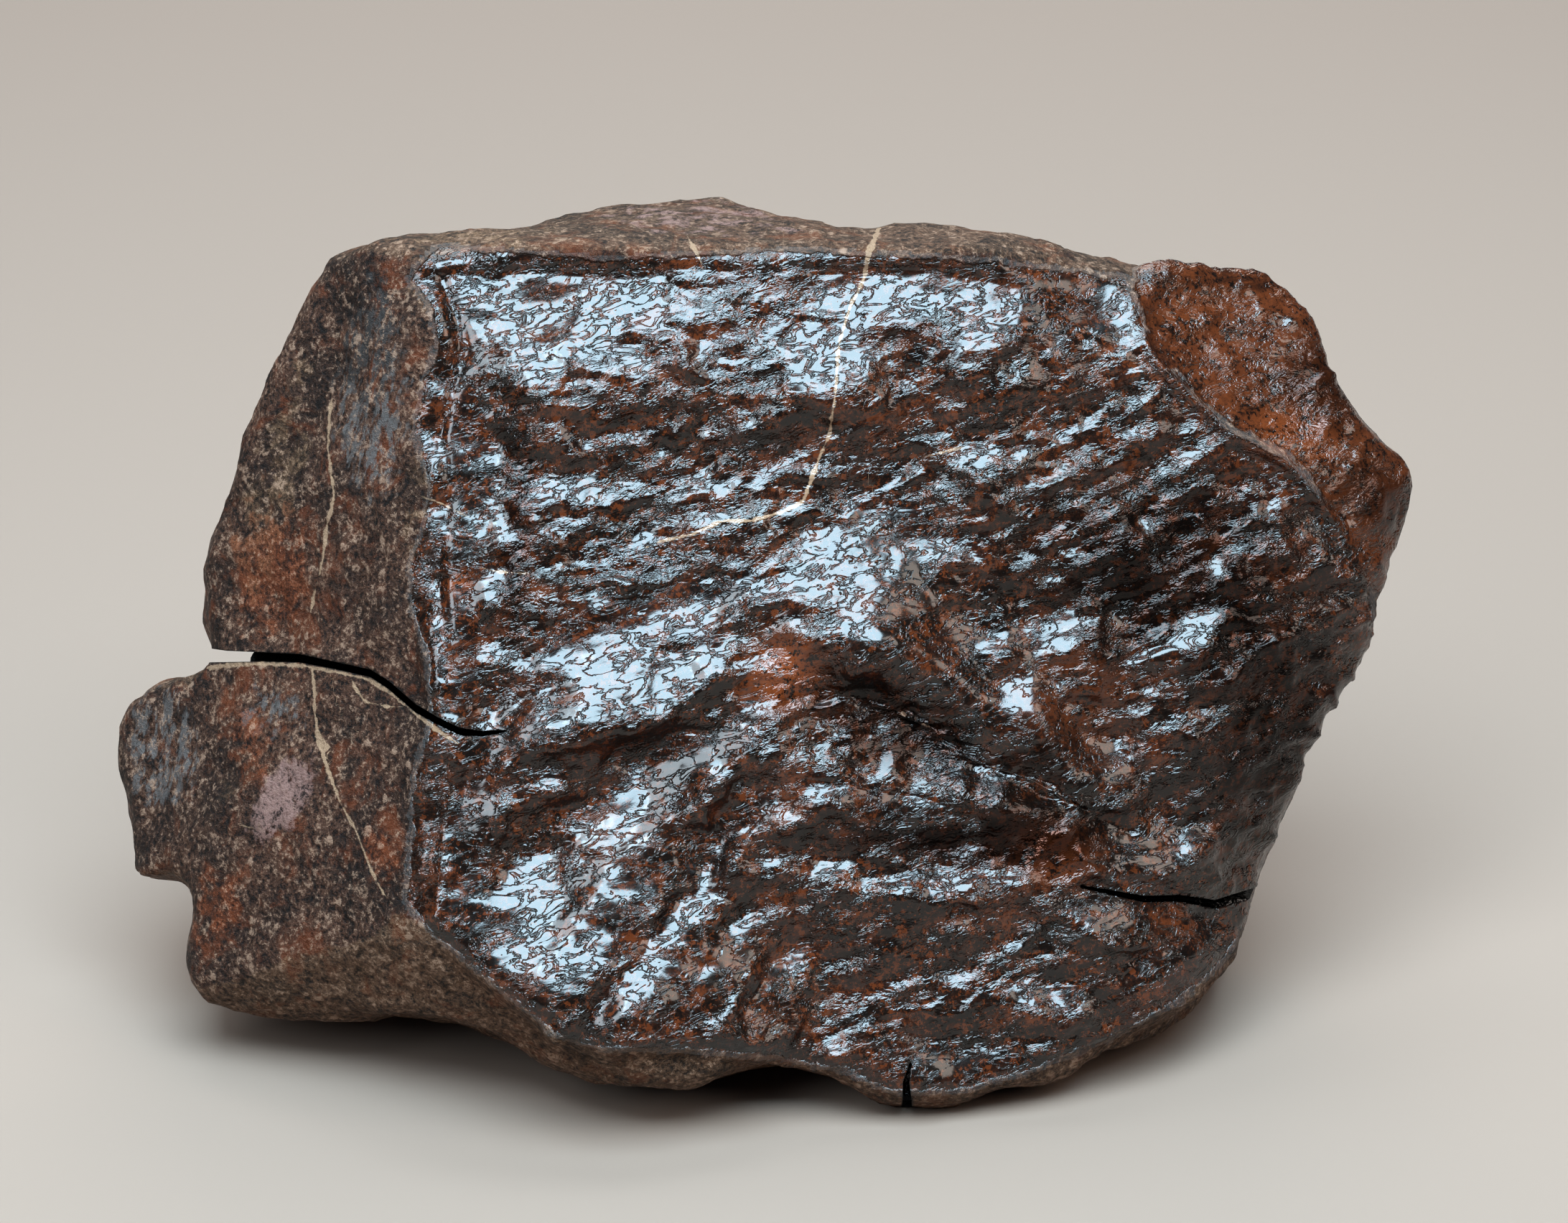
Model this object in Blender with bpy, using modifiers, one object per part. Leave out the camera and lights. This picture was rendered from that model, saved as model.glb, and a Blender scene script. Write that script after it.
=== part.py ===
"""A weathered chondrite meteorite: one hand-sized stone that stands on a small flat spot.

The stone is drawn as it looks from a little above its front, then given depth. An outline in the
drawing plane is extruded and remeshed, its two faces are moved to the fracture facets of the front
and of the back, the scoops, bosses and ledges are added, and the two open cracks are cut last.
Sizes are in millimetres until a mesh is made, and the scene is in metres with +Z up.
"""

import math
from dataclasses import dataclass

import bpy
import numpy as np
from mathutils import Vector, noise

MM = 0.001
STONE = "meteorite"

# The drawing plane: it leans back from the vertical, and is seen in perspective from EYE_DISTANCE.
LEAN = math.radians(25.0)
EYE_DISTANCE = 577.0
RIGHT = np.array([1.0, 0.0, 0.0])
UP = np.array([0.0, math.sin(LEAN), math.cos(LEAN)])
TOWARD = np.array([0.0, -math.cos(LEAN), math.sin(LEAN)])

# Height of the drawing plane's origin over the surface that the stone stands on. Whatever is less
# than REST_SNAP above that surface is laid on it, and the skin is calmer up to REST_FADE above it.
REST_DEPTH = 44.1
REST_SNAP = 0.45
REST_FADE = 6.0

SLAB = 24.0
SLAB_VOXEL = 1.0
BODY_VOXEL = 0.9
LEAST_WALL = 4.5
SMOOTH_STEPS = 2
TRIANGLES = 8900

# How round the edges between facets are: within one block, between a block and the front, where
# the front turns to the right or rolls over its right-hand edge, round the cove, and at the back.
EDGE_BLEND = 1.6
RIDGE_BLEND = 2.2
FRONT_BLEND = 6.0
ROLLING_BLEND = 9.0
COVE_VALLEY_BLEND = 4.0
COVE_RIM_BLEND = 1.4
BACK_BLEND = 2.5

# The silhouette, clockwise from the upper left corner: (right, up) in the drawing plane.
OUTLINE = [
    (-50.0, 40.2), (-45.0, 41.5), (-41.0, 42.7), (-35.0, 42.5), (-27.0, 43.3), (-20.0, 45.6),
    (-15.5, 45.4), (-10.5, 46.7), (-5.0, 45.9), (0.0, 44.0), (4.0, 43.9), (9.0, 42.6),
    (16.0, 42.9), (24.0, 42.4), (29.0, 41.7), (31.5, 39.9), (40.0, 38.3), (50.0, 37.4),
    (52.5, 37.5), (56.0, 34.8), (59.2, 31.2), (59.8, 28.8), (61.5, 25.0), (66.0, 19.8),
    (70.2, 16.0), (70.3, 13.5), (69.3, 10.0), (68.0, 6.5), (66.4, 3.5), (65.5, 0.0),
    (65.0, -2.8), (63.0, -6.0), (60.3, -10.2), (58.0, -15.0), (55.8, -21.5), (53.6, -27.5),
    (51.7, -31.4), (51.3, -34.5), (49.4, -39.2), (45.0, -44.5), (41.0, -47.4), (34.5, -49.9),
    (31.0, -52.1), (28.0, -53.0), (24.5, -52.7), (20.0, -54.8), (16.5, -55.5), (13.7, -54.7),
    (11.3, -55.4), (9.0, -53.8), (5.0, -51.3), (0.0, -50.1), (-4.0, -50.8), (-8.0, -52.2),
    (-13.5, -53.0), (-19.5, -52.4), (-24.0, -50.9), (-27.5, -49.6), (-31.0, -47.4), (-36.0, -45.6),
    (-42.0, -44.9), (-50.0, -45.7), (-60.0, -44.5), (-64.8, -43.4), (-66.3, -40.5), (-66.8, -36.8),
    (-65.6, -33.6), (-65.9, -29.1), (-72.6, -30.0), (-72.8, -24.0), (-73.6, -19.5), (-74.6, -16.0),
    (-73.9, -11.8), (-72.8, -9.6), (-69.0, -7.7), (-63.0, -5.9), (-61.0, -5.3), (-63.2, -4.4),
    (-64.5, -2.0), (-64.3, 1.0), (-64.6, 6.0), (-63.2, 10.0), (-60.0, 20.0), (-56.0, 30.0),
    (-53.0, 35.3), (-51.5, 38.2),
]


@dataclass(frozen=True)
class Facet:
    """A flat break: the way it faces, and how far it lies from the drawing's origin.

    Azimuth 0 faces the front, 90 the right, 180 the back; elevation is above the horizon.
    """

    azimuth: float
    elevation: float
    distance: float

    def depth(self, u, v):
        """How far towards the eye the facet lies, where the drawing shows it at (u, v)."""
        a, e = math.radians(self.azimuth), math.radians(self.elevation)
        normal = np.array([math.sin(a) * math.cos(e), -math.cos(a) * math.cos(e), math.sin(e)])
        across = normal @ RIGHT * u + normal @ UP * v
        return (self.distance - across) / (normal @ TOWARD - across / EYE_DISTANCE)


FRONT = Facet(0, 28, 24.4)
FRONT_RIGHT = Facet(13, 20, 23.6)
LEFT_UPPER = Facet(-39, 20, 41.7)
LEFT_UPPER_EDGE = Facet(-62, 22, 56.2)
LEFT_LOWER = Facet(-39, 23, 40.2)
LEFT_LOWER_EDGE = Facet(-66, 10, 67.2)
TOP = Facet(180, 82, 43.6)
TOP_LEFT = Facet(-60, 66, 57.0)
TOP_RIGHT = Facet(44, 50, 44.0)
RIGHT_FRONT = Facet(46, -3, 48.5)
BOTTOM_FRONT = Facet(4, -30, 53.2)
COVE_RIGHT = Facet(-42, -28, 49.0)
COVE_LEFT = Facet(-20, -15, 51.7)

BACK_FACETS = [
    Facet(0, -90, REST_DEPTH),
    Facet(-90, -79.5, 46.8),
    Facet(90, -79, 47.9),
    Facet(180, -58, 44.5),
    Facet(150, -30, 44.5),
    Facet(-150, -28, 47.0),
    Facet(172, 9, 35.0),
    Facet(180, 50, 46.6),
    Facet(-138, 12, 47.0),
    Facet(-106, -8, 73.0),
    Facet(-128, 44, 58.5),
    Facet(138, 14, 57.0),
    Facet(102, -4, 67.0),
    Facet(135, 46, 58.0),
]


@dataclass(frozen=True)
class Mound:
    """A rise (height above 0) or a scoop (below 0) in the drawing: an ellipse turned by degrees."""

    u: float
    v: float
    half_length: float
    half_width: float
    turn: float
    height: float

    def lift(self, u, v):
        """The rise at each (u, v)."""
        c, s = math.cos(math.radians(self.turn)), math.sin(math.radians(self.turn))
        along = ((u - self.u) * c + (v - self.v) * s) / self.half_length
        across = ((v - self.v) * c - (u - self.u) * s) / self.half_width
        return self.height * np.exp(-(along**2 + across**2))


FRONT_RELIEF = [
    Mound(-22, 26, 13, 5.5, 12, 1.6),
    Mound(24, 30, 18, 4.0, -4, 1.5),
    Mound(12, 29, 5, 3.5, 0, -1.6),
    Mound(-2, 16, 26, 6.0, 6, -1.5),
    Mound(-33, 8, 3.0, 14.0, 0, -1.3),
    Mound(10, -2, 9, 6.0, -10, 2.4),
    Mound(13, -11, 12, 4.6, -24, -4.6),
    Mound(-18, -10, 12, 4.5, 14, 1.4),
    Mound(-17, -18, 14, 4.0, 24, -1.6),
    Mound(-26, -27, 3.2, 7.0, 8, -1.2),
    Mound(-21, -42, 13, 6.0, -30, 2.0),
    Mound(-10, -31, 13, 2.6, 46, -1.5),
    Mound(-3, -40, 11, 2.4, 55, -1.4),
    Mound(3, -44, 12, 4.2, 68, -3.0),
    Mound(8, -20.5, 8, 1.9, 0, 1.4),
    Mound(24, -23, 9, 1.9, -22, 1.5),
    Mound(27, -19, 12, 3.0, -24, -2.0),
    Mound(20, -26, 11, 2.7, -2, -2.4),
    Mound(18, -30.8, 11, 1.6, 4, 0.9),
    Mound(26, -11, 6, 5.0, -30, 1.8),
    Mound(41, -4, 7, 2.4, 26, 0.9),
    Mound(40, -9, 8, 2.6, 20, -1.1),
    Mound(41, -27, 7, 4.0, 10, 1.8),
    Mound(40, -34.5, 9, 3.0, -4, 1.5),
    Mound(28, -44, 11, 6.5, 16, 1.7),
    Mound(18, -37, 10, 3.4, 24, -1.5),
    Mound(14, -49, 4, 4.0, 0, 1.2),
    Mound(44, 12, 12, 6.0, -28, -1.2),
    Mound(56, 16, 7, 2.2, -28, 1.0),
    Mound(52, 27, 8, 4.5, -40, -1.1),
    Mound(-50, 30, 3.0, 9.0, -6, -1.1),
    Mound(-56, -22, 9, 8.0, 0, 0.9),
    Mound(-70, -19, 4.5, 9.0, 0, -1.0),
    Mound(-30, 44, 14, 3.0, 4, -0.8),
]


# How far past the ends of its line a ledge fades out.
LEDGE_FADE = 3.0


@dataclass(frozen=True)
class Ledge:
    """A step along a line of the drawing: its reach above and below the line, and its height.

    The line runs from left to right, or from below to above where it is upright.
    """

    line: tuple
    above: float
    below: float
    height: float
    upright: bool = False

    def lift(self, u, v):
        """The rise at each (u, v), which fades past both ends of the line."""
        run, side = (v, u) if self.upright else (u, v)
        places = np.array(self.line)[:, ::-1] if self.upright else np.array(self.line)
        off = side - np.interp(run, places[:, 0], places[:, 1])
        reach = np.where(off > 0, self.above, self.below)
        past = np.maximum(places[0, 0] - run, run - places[-1, 0])
        fade = np.exp(-((np.maximum(past, 0) / LEDGE_FADE) ** 2))
        return self.height * fade * np.exp(-((off / reach) ** 2))


FRONT_LEDGES = [
    Ledge(((3, -18), (7, -18.6), (12, -20), (20, -21), (28, -23), (34, -26.5)), 1.8, 6.0, 2.4),
    Ledge(((7, -32), (10, -31.2), (15, -30.3), (24, -29.4), (28, -30.5), (32, -31.5)), 1.3, 6.0, 1.7),
    Ledge(((-40, -32), (-39, -20), (-37.5, -13), (-37, -5), (-38.3, 0), (-37, 14),
           (-38.8, 20), (-36.2, 29), (-38.6, 37)), 2.6, 1.6, 1.0, upright=True),
    Ledge(((39, 33), (42, 28), (45, 25), (50, 19.8), (56, 16.8), (59, 14), (62, 10)), 1.8, 2.6, 1.2),
    Ledge(((-31, -13), (-24, -9.5), (-16, -6), (-8, -2), (0, 0.5)), 2.6, 1.5, 0.9),
    Ledge(((-28, 0), (-22, 3), (-14, 5), (-6, 6.5)), 1.4, 4.0, 0.9),
    Ledge(((-33, -23), (-29, -20), (-23, -17.5), (-15, -14), (-5, -13)), 1.5, 3.0, 0.9),
    Ledge(((-25, -37), (-20, -29), (-14, -23.5), (-8, -19.5), (-1, -15)), 1.3, 3.4, 1.3),
    Ledge(((-17, -44), (-12, -37), (-7, -30), (-2, -25.5), (4, -22.5)), 1.2, 3.2, 1.3),
    Ledge(((-8, -48), (-4, -41), (0, -36), (5, -31)), 1.2, 3.0, 1.2),
    Ledge(((-5, -11), (-2, -6.5), (3, -4.5), (10, -4), (17, -6.5), (22, -11)), 3.0, 1.3, 1.2),
    Ledge(((21, -15), (25, -12.5), (29, -8.5), (32, -6.5)), 1.2, 3.0, 1.0),
    Ledge(((30, -20), (34, -17.5), (39, -16.5)), 1.1, 2.6, 0.9),
    Ledge(((22, -3), (28, -2.2), (34, -0.8)), 1.0, 2.2, 0.8),
    Ledge(((36, -8), (41, -5.2), (46, -2.6)), 1.0, 2.4, 0.9),
    Ledge(((35, -29.5), (41, -29.8), (48, -30.4)), 3.5, 0.9, 1.1),
    Ledge(((10, -37.5), (16, -35.8), (22, -34.6)), 1.2, 3.0, 0.9),
    Ledge(((20, -43), (26, -40.5), (32, -39), (37, -40.6), (44, -38.6)), 1.2, 3.0, 1.1),
    Ledge(((-24, 30), (-17, 33), (-9, 33.5)), 1.3, 3.2, 0.8),
    Ledge(((-27, 20), (-21, 22.5), (-14, 22)), 1.2, 2.8, 0.6),
    Ledge(((20, 12.5), (27, 14), (34, 13)), 1.2, 3.0, 0.6),
    Ledge(((-4, 21), (3, 25), (8, 27)), 1.4, 2.8, 0.7),
]


# A streak's crest and how fast its sides fall, as shares of its height.
STREAK_CREST = 0.5
STREAK_FALL = 1.6

# The straight edges of the varnished front face, as distances from the drawing's origin along the
# (right, up) directions that they face, and how far inwards the streaks reach their full height.
FACE_EDGES = [
    ((-1.0, 0.0), 36.5),
    ((0.0, 1.0), 38.5),
    ((0.77, 0.64), 52.5),
    ((-0.62, -0.78), 50.4),
]
FACE_FADE = 3.0


@dataclass(frozen=True)
class Streaks:
    """Seeded streaks of the varnished front face: their slope, length, width and height."""

    slope: float
    length: float
    width: float
    height: float
    offset: float

    def lift(self, u, v):
        """The rise at each (u, v): sharp crests with round hollows between them."""
        c, s = math.cos(math.radians(self.slope)), math.sin(math.radians(self.slope))
        along, across = (u * c + v * s) / self.length, (v * c - u * s) / self.width
        grain = np.array([noise.noise(Vector((a, b, self.offset))) for a, b in zip(along, across)])
        crests = STREAK_CREST - STREAK_FALL * np.abs(grain)
        return self.height * crests * on_front_face(u, v)


STREAKS = [Streaks(14, 15.0, 6.5, 1.2, 5.3), Streaks(20, 8.0, 3.6, 0.6, 23.9)]


@dataclass(frozen=True)
class Thumbprint:
    """A round scoop on a hidden side: its place from the drawing's origin, radius and depth."""

    x: float
    y: float
    z: float
    radius: float
    depth: float


THUMBPRINTS = [
    Thumbprint(-38, 36, 8, 14, 3.8),
    Thumbprint(-12, 42, 16, 13, 3.5),
    Thumbprint(14, 42, -4, 14, 4.2),
    Thumbprint(-16, 40, -16, 12, 3.2),
    Thumbprint(44, 26, 10, 14, 3.8),
    Thumbprint(36, 26, 28, 11, 2.9),
    Thumbprint(4, 28, 36, 12, 3.2),
    Thumbprint(-30, 24, 36, 12, 3.0),
    Thumbprint(-58, 18, 14, 11, 2.9),
    Thumbprint(-70, 12, -22, 10, 2.6),
    Thumbprint(-46, 26, -26, 12, 3.4),
    Thumbprint(62, 12, -6, 10, 2.7),
    Thumbprint(46, 18, -26, 12, 3.2),
    Thumbprint(-44, 0, -38, 11, 2.6),
]


@dataclass(frozen=True)
class Waves:
    """Seeded unevenness of the skin: the length of its swells and their height."""

    length: float
    height: float
    offset: float


# The swells are whole on the hidden sides, weaker on the front and weakest along the silhouette.
# The last two numbers say how fast they change where the skin turns towards the eye.
SWELLS = [Waves(26.0, 2.2, 3.7), Waves(12.0, 1.3, 17.1), Waves(5.5, 0.5, 41.9)]
FRONT_SWELL_SHARE = 0.35
RIM_SWELL_SHARE = 0.2
FRONT_TURN = 2.5
RIM_TURN = 2.2


@dataclass(frozen=True)
class Crack:
    """An open crack: (right, up, half its gap) along it, and the depths that it runs between.

    Half the gap lies above and below the line, or to its left and right where it is upright.
    """

    name: str
    line: tuple
    front: float
    end: float
    upright: bool = False

    def outline(self):
        """The corners of the gap in the drawing, along one lip and back along the other."""
        across = (1, 0) if self.upright else (0, 1)
        lips = [
            [(u + side * gap * across[0], v + side * gap * across[1]) for u, v, gap in self.line]
            for side in (1, -1)
        ]
        return lips[0] + lips[1][::-1]


CRACKS = [
    Crack(
        "left_crack",
        (
            (-70.0, -4.4, 1.3), (-62.0, -5.0, 0.62), (-58.0, -5.05, 0.5), (-54.0, -5.2, 0.46),
            (-50.0, -6.0, 0.4), (-46.0, -6.9, 0.42), (-44.0, -8.2, 0.46), (-41.0, -10.8, 0.46),
            (-38.5, -12.2, 0.42), (-36.0, -13.4, 0.4), (-33.5, -13.6, 0.3), (-31.0, -13.3, 0.12),
        ),
        45.0,
        -16.0,
    ),
    Crack(
        "right_crack",
        (
            (58.0, -29.5, 0.9), (52.0, -31.4, 0.55), (48.0, -32.6, 0.48), (44.0, -31.9, 0.36),
            (40.0, -32.0, 0.36), (36.5, -31.3, 0.28), (33.0, -30.6, 0.12),
        ),
        45.0,
        -4.0,
    ),
    Crack(
        "bottom_slit",
        ((13.6, -57.0, 0.75), (13.7, -54.4, 0.5), (13.6, -52.4, 0.36), (14.1, -50.2, 0.12)),
        45.0,
        12.0,
        upright=True,
    ),
]

# How far the lower left block stands proud of the upper one, and the height over which it does.
STEP_AT_CRACK = 1.3
STEP_WIDTH = 0.2

MATERIAL_COLOUR = (0.115, 0.055, 0.032, 1.0)
MATERIAL_ROUGHNESS = 0.42


def smooth_min(first, second, blend=EDGE_BLEND):
    """The lower of two depths, with a rounded edge where they cross."""
    share = np.clip(0.5 + 0.5 * (second - first) / blend, 0, 1)
    return second + (first - second) * share - blend * share * (1 - share)


def smooth_max(first, second, blend=EDGE_BLEND):
    """The higher of two depths, with a rounded valley where they cross."""
    return -smooth_min(-first, -second, blend)


def crack_height(u):
    """The height of the left crack at u, held level past its inner end."""
    places = np.array(CRACKS[0].line)
    return np.interp(u, places[:, 0], places[:, 1])


def left_faces(u, v):
    """The two blocks at the left, of which the lower one stands a little proud at the crack."""
    upper = smooth_min(LEFT_UPPER.depth(u, v), LEFT_UPPER_EDGE.depth(u, v))
    lower = smooth_min(LEFT_LOWER.depth(u, v), LEFT_LOWER_EDGE.depth(u, v)) + STEP_AT_CRACK
    below = 1 / (1 + np.exp((v - crack_height(u)) / STEP_WIDTH))
    return upper + (lower - upper) * below


def on_front_face(u, v):
    """1 on the varnished front face, fading to 0 over the ridges that frame it."""
    inside = [distance - right * u - up * v for (right, up), distance in FACE_EDGES]
    return np.clip(np.min(inside, axis=0) / FACE_FADE, 0, 1)


def front_depth(u, v):
    """The front of the stone, towards the eye, at each (u, v) of the drawing."""
    face = smooth_min(FRONT.depth(u, v), FRONT_RIGHT.depth(u, v), FRONT_BLEND)
    face = smooth_min(face, left_faces(u, v), RIDGE_BLEND)
    face = smooth_min(face, RIGHT_FRONT.depth(u, v), ROLLING_BLEND)
    for facet in (TOP, TOP_LEFT, TOP_RIGHT, BOTTOM_FRONT):
        face = smooth_min(face, facet.depth(u, v), RIDGE_BLEND)
    cove = smooth_max(COVE_RIGHT.depth(u, v), COVE_LEFT.depth(u, v), COVE_VALLEY_BLEND)
    face = smooth_min(face, cove, COVE_RIM_BLEND)
    return face + sum(shape.lift(u, v) for shape in (*FRONT_RELIEF, *FRONT_LEDGES, *STREAKS))


def back_depth(u, v):
    """The back and the underside of the stone at each (u, v) of the drawing."""
    deep = BACK_FACETS[0].depth(u, v)
    for facet in BACK_FACETS[1:]:
        deep = smooth_max(deep, facet.depth(u, v), BACK_BLEND)
    return deep


def placed(u, v, w):
    """Points of the drawing, w towards the eye, as (x, y, z) from its origin."""
    scale = 1 - w / EYE_DISTANCE
    return np.outer(u * scale, RIGHT) + np.outer(v * scale, UP) + np.outer(w, TOWARD)


def drawn(points):
    """(u, v, w) of the drawing for points given as (x, y, z) from its origin."""
    w = points @ TOWARD
    scale = 1 - w / EYE_DISTANCE
    return points @ RIGHT / scale, points @ UP / scale, w


def link(name, mesh, collection):
    """A new object that holds the mesh, in the collection."""
    obj = bpy.data.objects.new(name, mesh)
    collection.objects.link(obj)
    return obj


def extruded(name, outline, thickness, collection):
    """The closed outline as a slab of that thickness about z 0, made from a filled 2D curve."""
    curve = bpy.data.curves.new(name, "CURVE")
    curve.dimensions = "2D"
    curve.fill_mode = "BOTH"
    curve.extrude = thickness / 2 * MM
    spline = curve.splines.new("POLY")
    spline.points.add(len(outline) - 1)
    for point, (u, v) in zip(spline.points, outline):
        point.co = (u * MM, v * MM, 0, 1)
    spline.use_cyclic_u = True
    guide = link(name + "_outline", curve, collection)
    mesh = evaluated_mesh(guide)
    bpy.data.objects.remove(guide)
    slab = link(name, mesh, collection)
    weld = slab.modifiers.new("weld", "WELD")
    weld.merge_threshold = 0.01 * MM
    return applied(slab)


def evaluated_mesh(obj):
    """The object's mesh with its modifiers applied."""
    bpy.context.view_layer.update()
    graph = bpy.context.evaluated_depsgraph_get()
    return bpy.data.meshes.new_from_object(obj.evaluated_get(graph))


def applied(obj):
    """The object with its modifiers made part of its mesh."""
    mesh = evaluated_mesh(obj)
    obj.modifiers.clear()
    obj.data = mesh
    return obj


def remeshed(obj, voxel):
    """The object's surface rebuilt from even faces of about that size."""
    remesh = obj.modifiers.new("remesh", "REMESH")
    remesh.mode = "VOXEL"
    remesh.voxel_size = voxel * MM
    return applied(obj)


def corners(obj):
    """The mesh's points in millimetres, one row each."""
    flat = np.empty(len(obj.data.vertices) * 3)
    obj.data.vertices.foreach_get("co", flat)
    return flat.reshape(-1, 3) / MM


def move_corners(obj, points):
    """Puts the mesh's points at these places, given in millimetres."""
    obj.data.vertices.foreach_set("co", (points * MM).ravel())
    obj.data.update()


def normals(obj):
    """The outward direction at each of the mesh's points."""
    flat = np.empty(len(obj.data.vertices) * 3)
    obj.data.vertices.foreach_get("normal", flat)
    return flat.reshape(-1, 3)


def give_depth(obj):
    """Moves the slab's front to the front facets, its back to the back ones, walls in between."""
    points = corners(obj)
    u, v = points[:, 0], points[:, 1]
    share = np.clip(points[:, 2] / SLAB + 0.5, 0, 1)
    front = front_depth(u, v)
    back = np.minimum(back_depth(u, v), front - LEAST_WALL)
    move_corners(obj, placed(u, v, back + share * (front - back)))


def swell(points, waves):
    """Smooth noise at each point, from -1 to 1 times the waves' height."""
    shifted = points / waves.length + waves.offset
    return waves.height * np.array([noise.noise(Vector(p)) for p in shifted])


def wear(obj):
    """Adds the thumbprints of the hidden sides and the uneven skin, which stops at the rest."""
    points, out = corners(obj), normals(obj)
    facing = np.clip(out @ TOWARD * FRONT_TURN, 0, 1)
    rim = np.clip(np.abs(out @ TOWARD) * RIM_TURN, RIM_SWELL_SHARE, 1)
    lift = sum(swell(points, waves) for waves in SWELLS)
    lift = lift * rim * (1 - facing * (1 - FRONT_SWELL_SHARE))
    for print_ in THUMBPRINTS:
        reach = np.linalg.norm(points - (print_.x, print_.y, print_.z), axis=1) / print_.radius
        lift -= print_.depth * np.exp(-(reach**2)) * (1 - facing)
    resting = np.clip((points[:, 2] + REST_DEPTH) / REST_FADE, 0, 1)
    move_corners(obj, points + out * (lift * resting)[:, None])


def level_rest_spot(obj):
    """Makes the spot that the stone stands on truly flat."""
    points = corners(obj)
    points[points[:, 2] < REST_SNAP - REST_DEPTH, 2] = -REST_DEPTH
    move_corners(obj, points)


def crack_cutter(crack, collection):
    """A curved blade that tapers as the crack does, hidden from renders."""
    blade = extruded(crack.name, crack.outline(), crack.front - crack.end, collection)
    points = corners(blade)
    depth = points[:, 2] + (crack.front + crack.end) / 2
    move_corners(blade, placed(points[:, 0], points[:, 1], depth))
    blade.hide_render = True
    blade.display_type = "WIRE"
    return blade


def stone_material():
    """Dark reddish brown weathered stone with a varnished sheen."""
    material = bpy.data.materials.new("weathered_stone")
    material.use_nodes = True
    shader = material.node_tree.nodes["Principled BSDF"]
    shader.inputs["Base Color"].default_value = MATERIAL_COLOUR
    shader.inputs["Roughness"].default_value = MATERIAL_ROUGHNESS
    return material


def centre_on_base(obj, cutters):
    """Puts the origin under the middle of the finished stone, at the height of its rest spot."""
    mesh = evaluated_mesh(obj)
    points = np.array([corner.co for corner in mesh.vertices])
    low, high = points.min(axis=0), points.max(axis=0)
    bpy.data.meshes.remove(mesh)
    shift = Vector((-(low[0] + high[0]) / 2, -(low[1] + high[1]) / 2, -low[2]))
    for piece in (obj, *cutters):
        piece.location = shift
    print("drawing origin in the row frame, mm:", [round(value / MM, 3) for value in shift])


def build_stone(parts, helpers):
    """The whole stone: slab, facets, relief, wear, fewer faces, then the cracks."""
    stone = extruded(STONE, OUTLINE, SLAB, parts)
    remeshed(stone, SLAB_VOXEL)
    give_depth(stone)
    remeshed(stone, BODY_VOXEL)
    soften = stone.modifiers.new("soften", "SMOOTH")
    soften.iterations = SMOOTH_STEPS
    applied(stone)
    wear(stone)
    level_rest_spot(stone)
    fewer = stone.modifiers.new("fewer", "DECIMATE")
    fewer.ratio = TRIANGLES / (2 * len(stone.data.polygons))
    fewer.use_collapse_triangulate = True
    applied(stone)
    level_rest_spot(stone)
    cutters = [crack_cutter(crack, helpers) for crack in CRACKS]
    for cutter in cutters:
        cut = stone.modifiers.new(cutter.name, "BOOLEAN")
        cut.operation = "DIFFERENCE"
        cut.object = cutter
    stone.data.materials.clear()
    stone.data.materials.append(stone_material())
    centre_on_base(stone, cutters)
    return stone


def main():
    """Clears the scene and models the stone in it."""
    for obj in list(bpy.data.objects):
        bpy.data.objects.remove(obj)
    scene = bpy.context.scene
    parts = bpy.data.collections.new("chondrite meteorite")
    helpers = bpy.data.collections.new("cutters")
    scene.collection.children.link(parts)
    scene.collection.children.link(helpers)
    build_stone(parts, helpers)


main()
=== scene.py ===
"""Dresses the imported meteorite: its fine relief, its finish, the stage, the lights and the camera.

Places on the stone's front are given in a drawing plane, in millimetres to the right of and above
the drawing's origin, as a viewer sees them from a little above the front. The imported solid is
copied, its cracks are closed, its surface is refined and carved, and the cracks are opened again.
"""

from __future__ import annotations

import logging
import math
from collections.abc import Iterator, Sequence
from contextlib import contextmanager
from dataclasses import dataclass, field, replace
from enum import Enum
from itertools import pairwise, product

import bpy
import numpy as np
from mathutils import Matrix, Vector, noise

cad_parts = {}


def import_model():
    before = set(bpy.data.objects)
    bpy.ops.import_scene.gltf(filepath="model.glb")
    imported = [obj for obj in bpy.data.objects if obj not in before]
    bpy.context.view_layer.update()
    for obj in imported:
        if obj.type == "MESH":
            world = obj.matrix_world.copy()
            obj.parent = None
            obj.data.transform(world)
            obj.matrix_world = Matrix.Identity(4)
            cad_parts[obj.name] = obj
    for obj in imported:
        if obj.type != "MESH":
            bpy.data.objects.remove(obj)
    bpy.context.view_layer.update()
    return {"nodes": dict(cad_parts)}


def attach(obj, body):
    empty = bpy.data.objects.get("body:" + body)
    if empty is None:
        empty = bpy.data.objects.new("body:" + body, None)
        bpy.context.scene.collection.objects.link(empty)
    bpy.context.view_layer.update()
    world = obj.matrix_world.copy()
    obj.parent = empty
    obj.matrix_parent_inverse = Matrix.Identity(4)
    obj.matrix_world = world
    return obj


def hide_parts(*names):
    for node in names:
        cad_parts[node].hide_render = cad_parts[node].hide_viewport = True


LOG = logging.getLogger("meteorite")
MM = 0.001
SOLID = "meteorite"
MIDDLE_OF_NOISE = 0.5

Array = np.ndarray
Colour = tuple[float, float, float]
Piece = bpy.types.Object
Socket = bpy.types.NodeSocket
NodeTree = bpy.types.NodeTree


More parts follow.
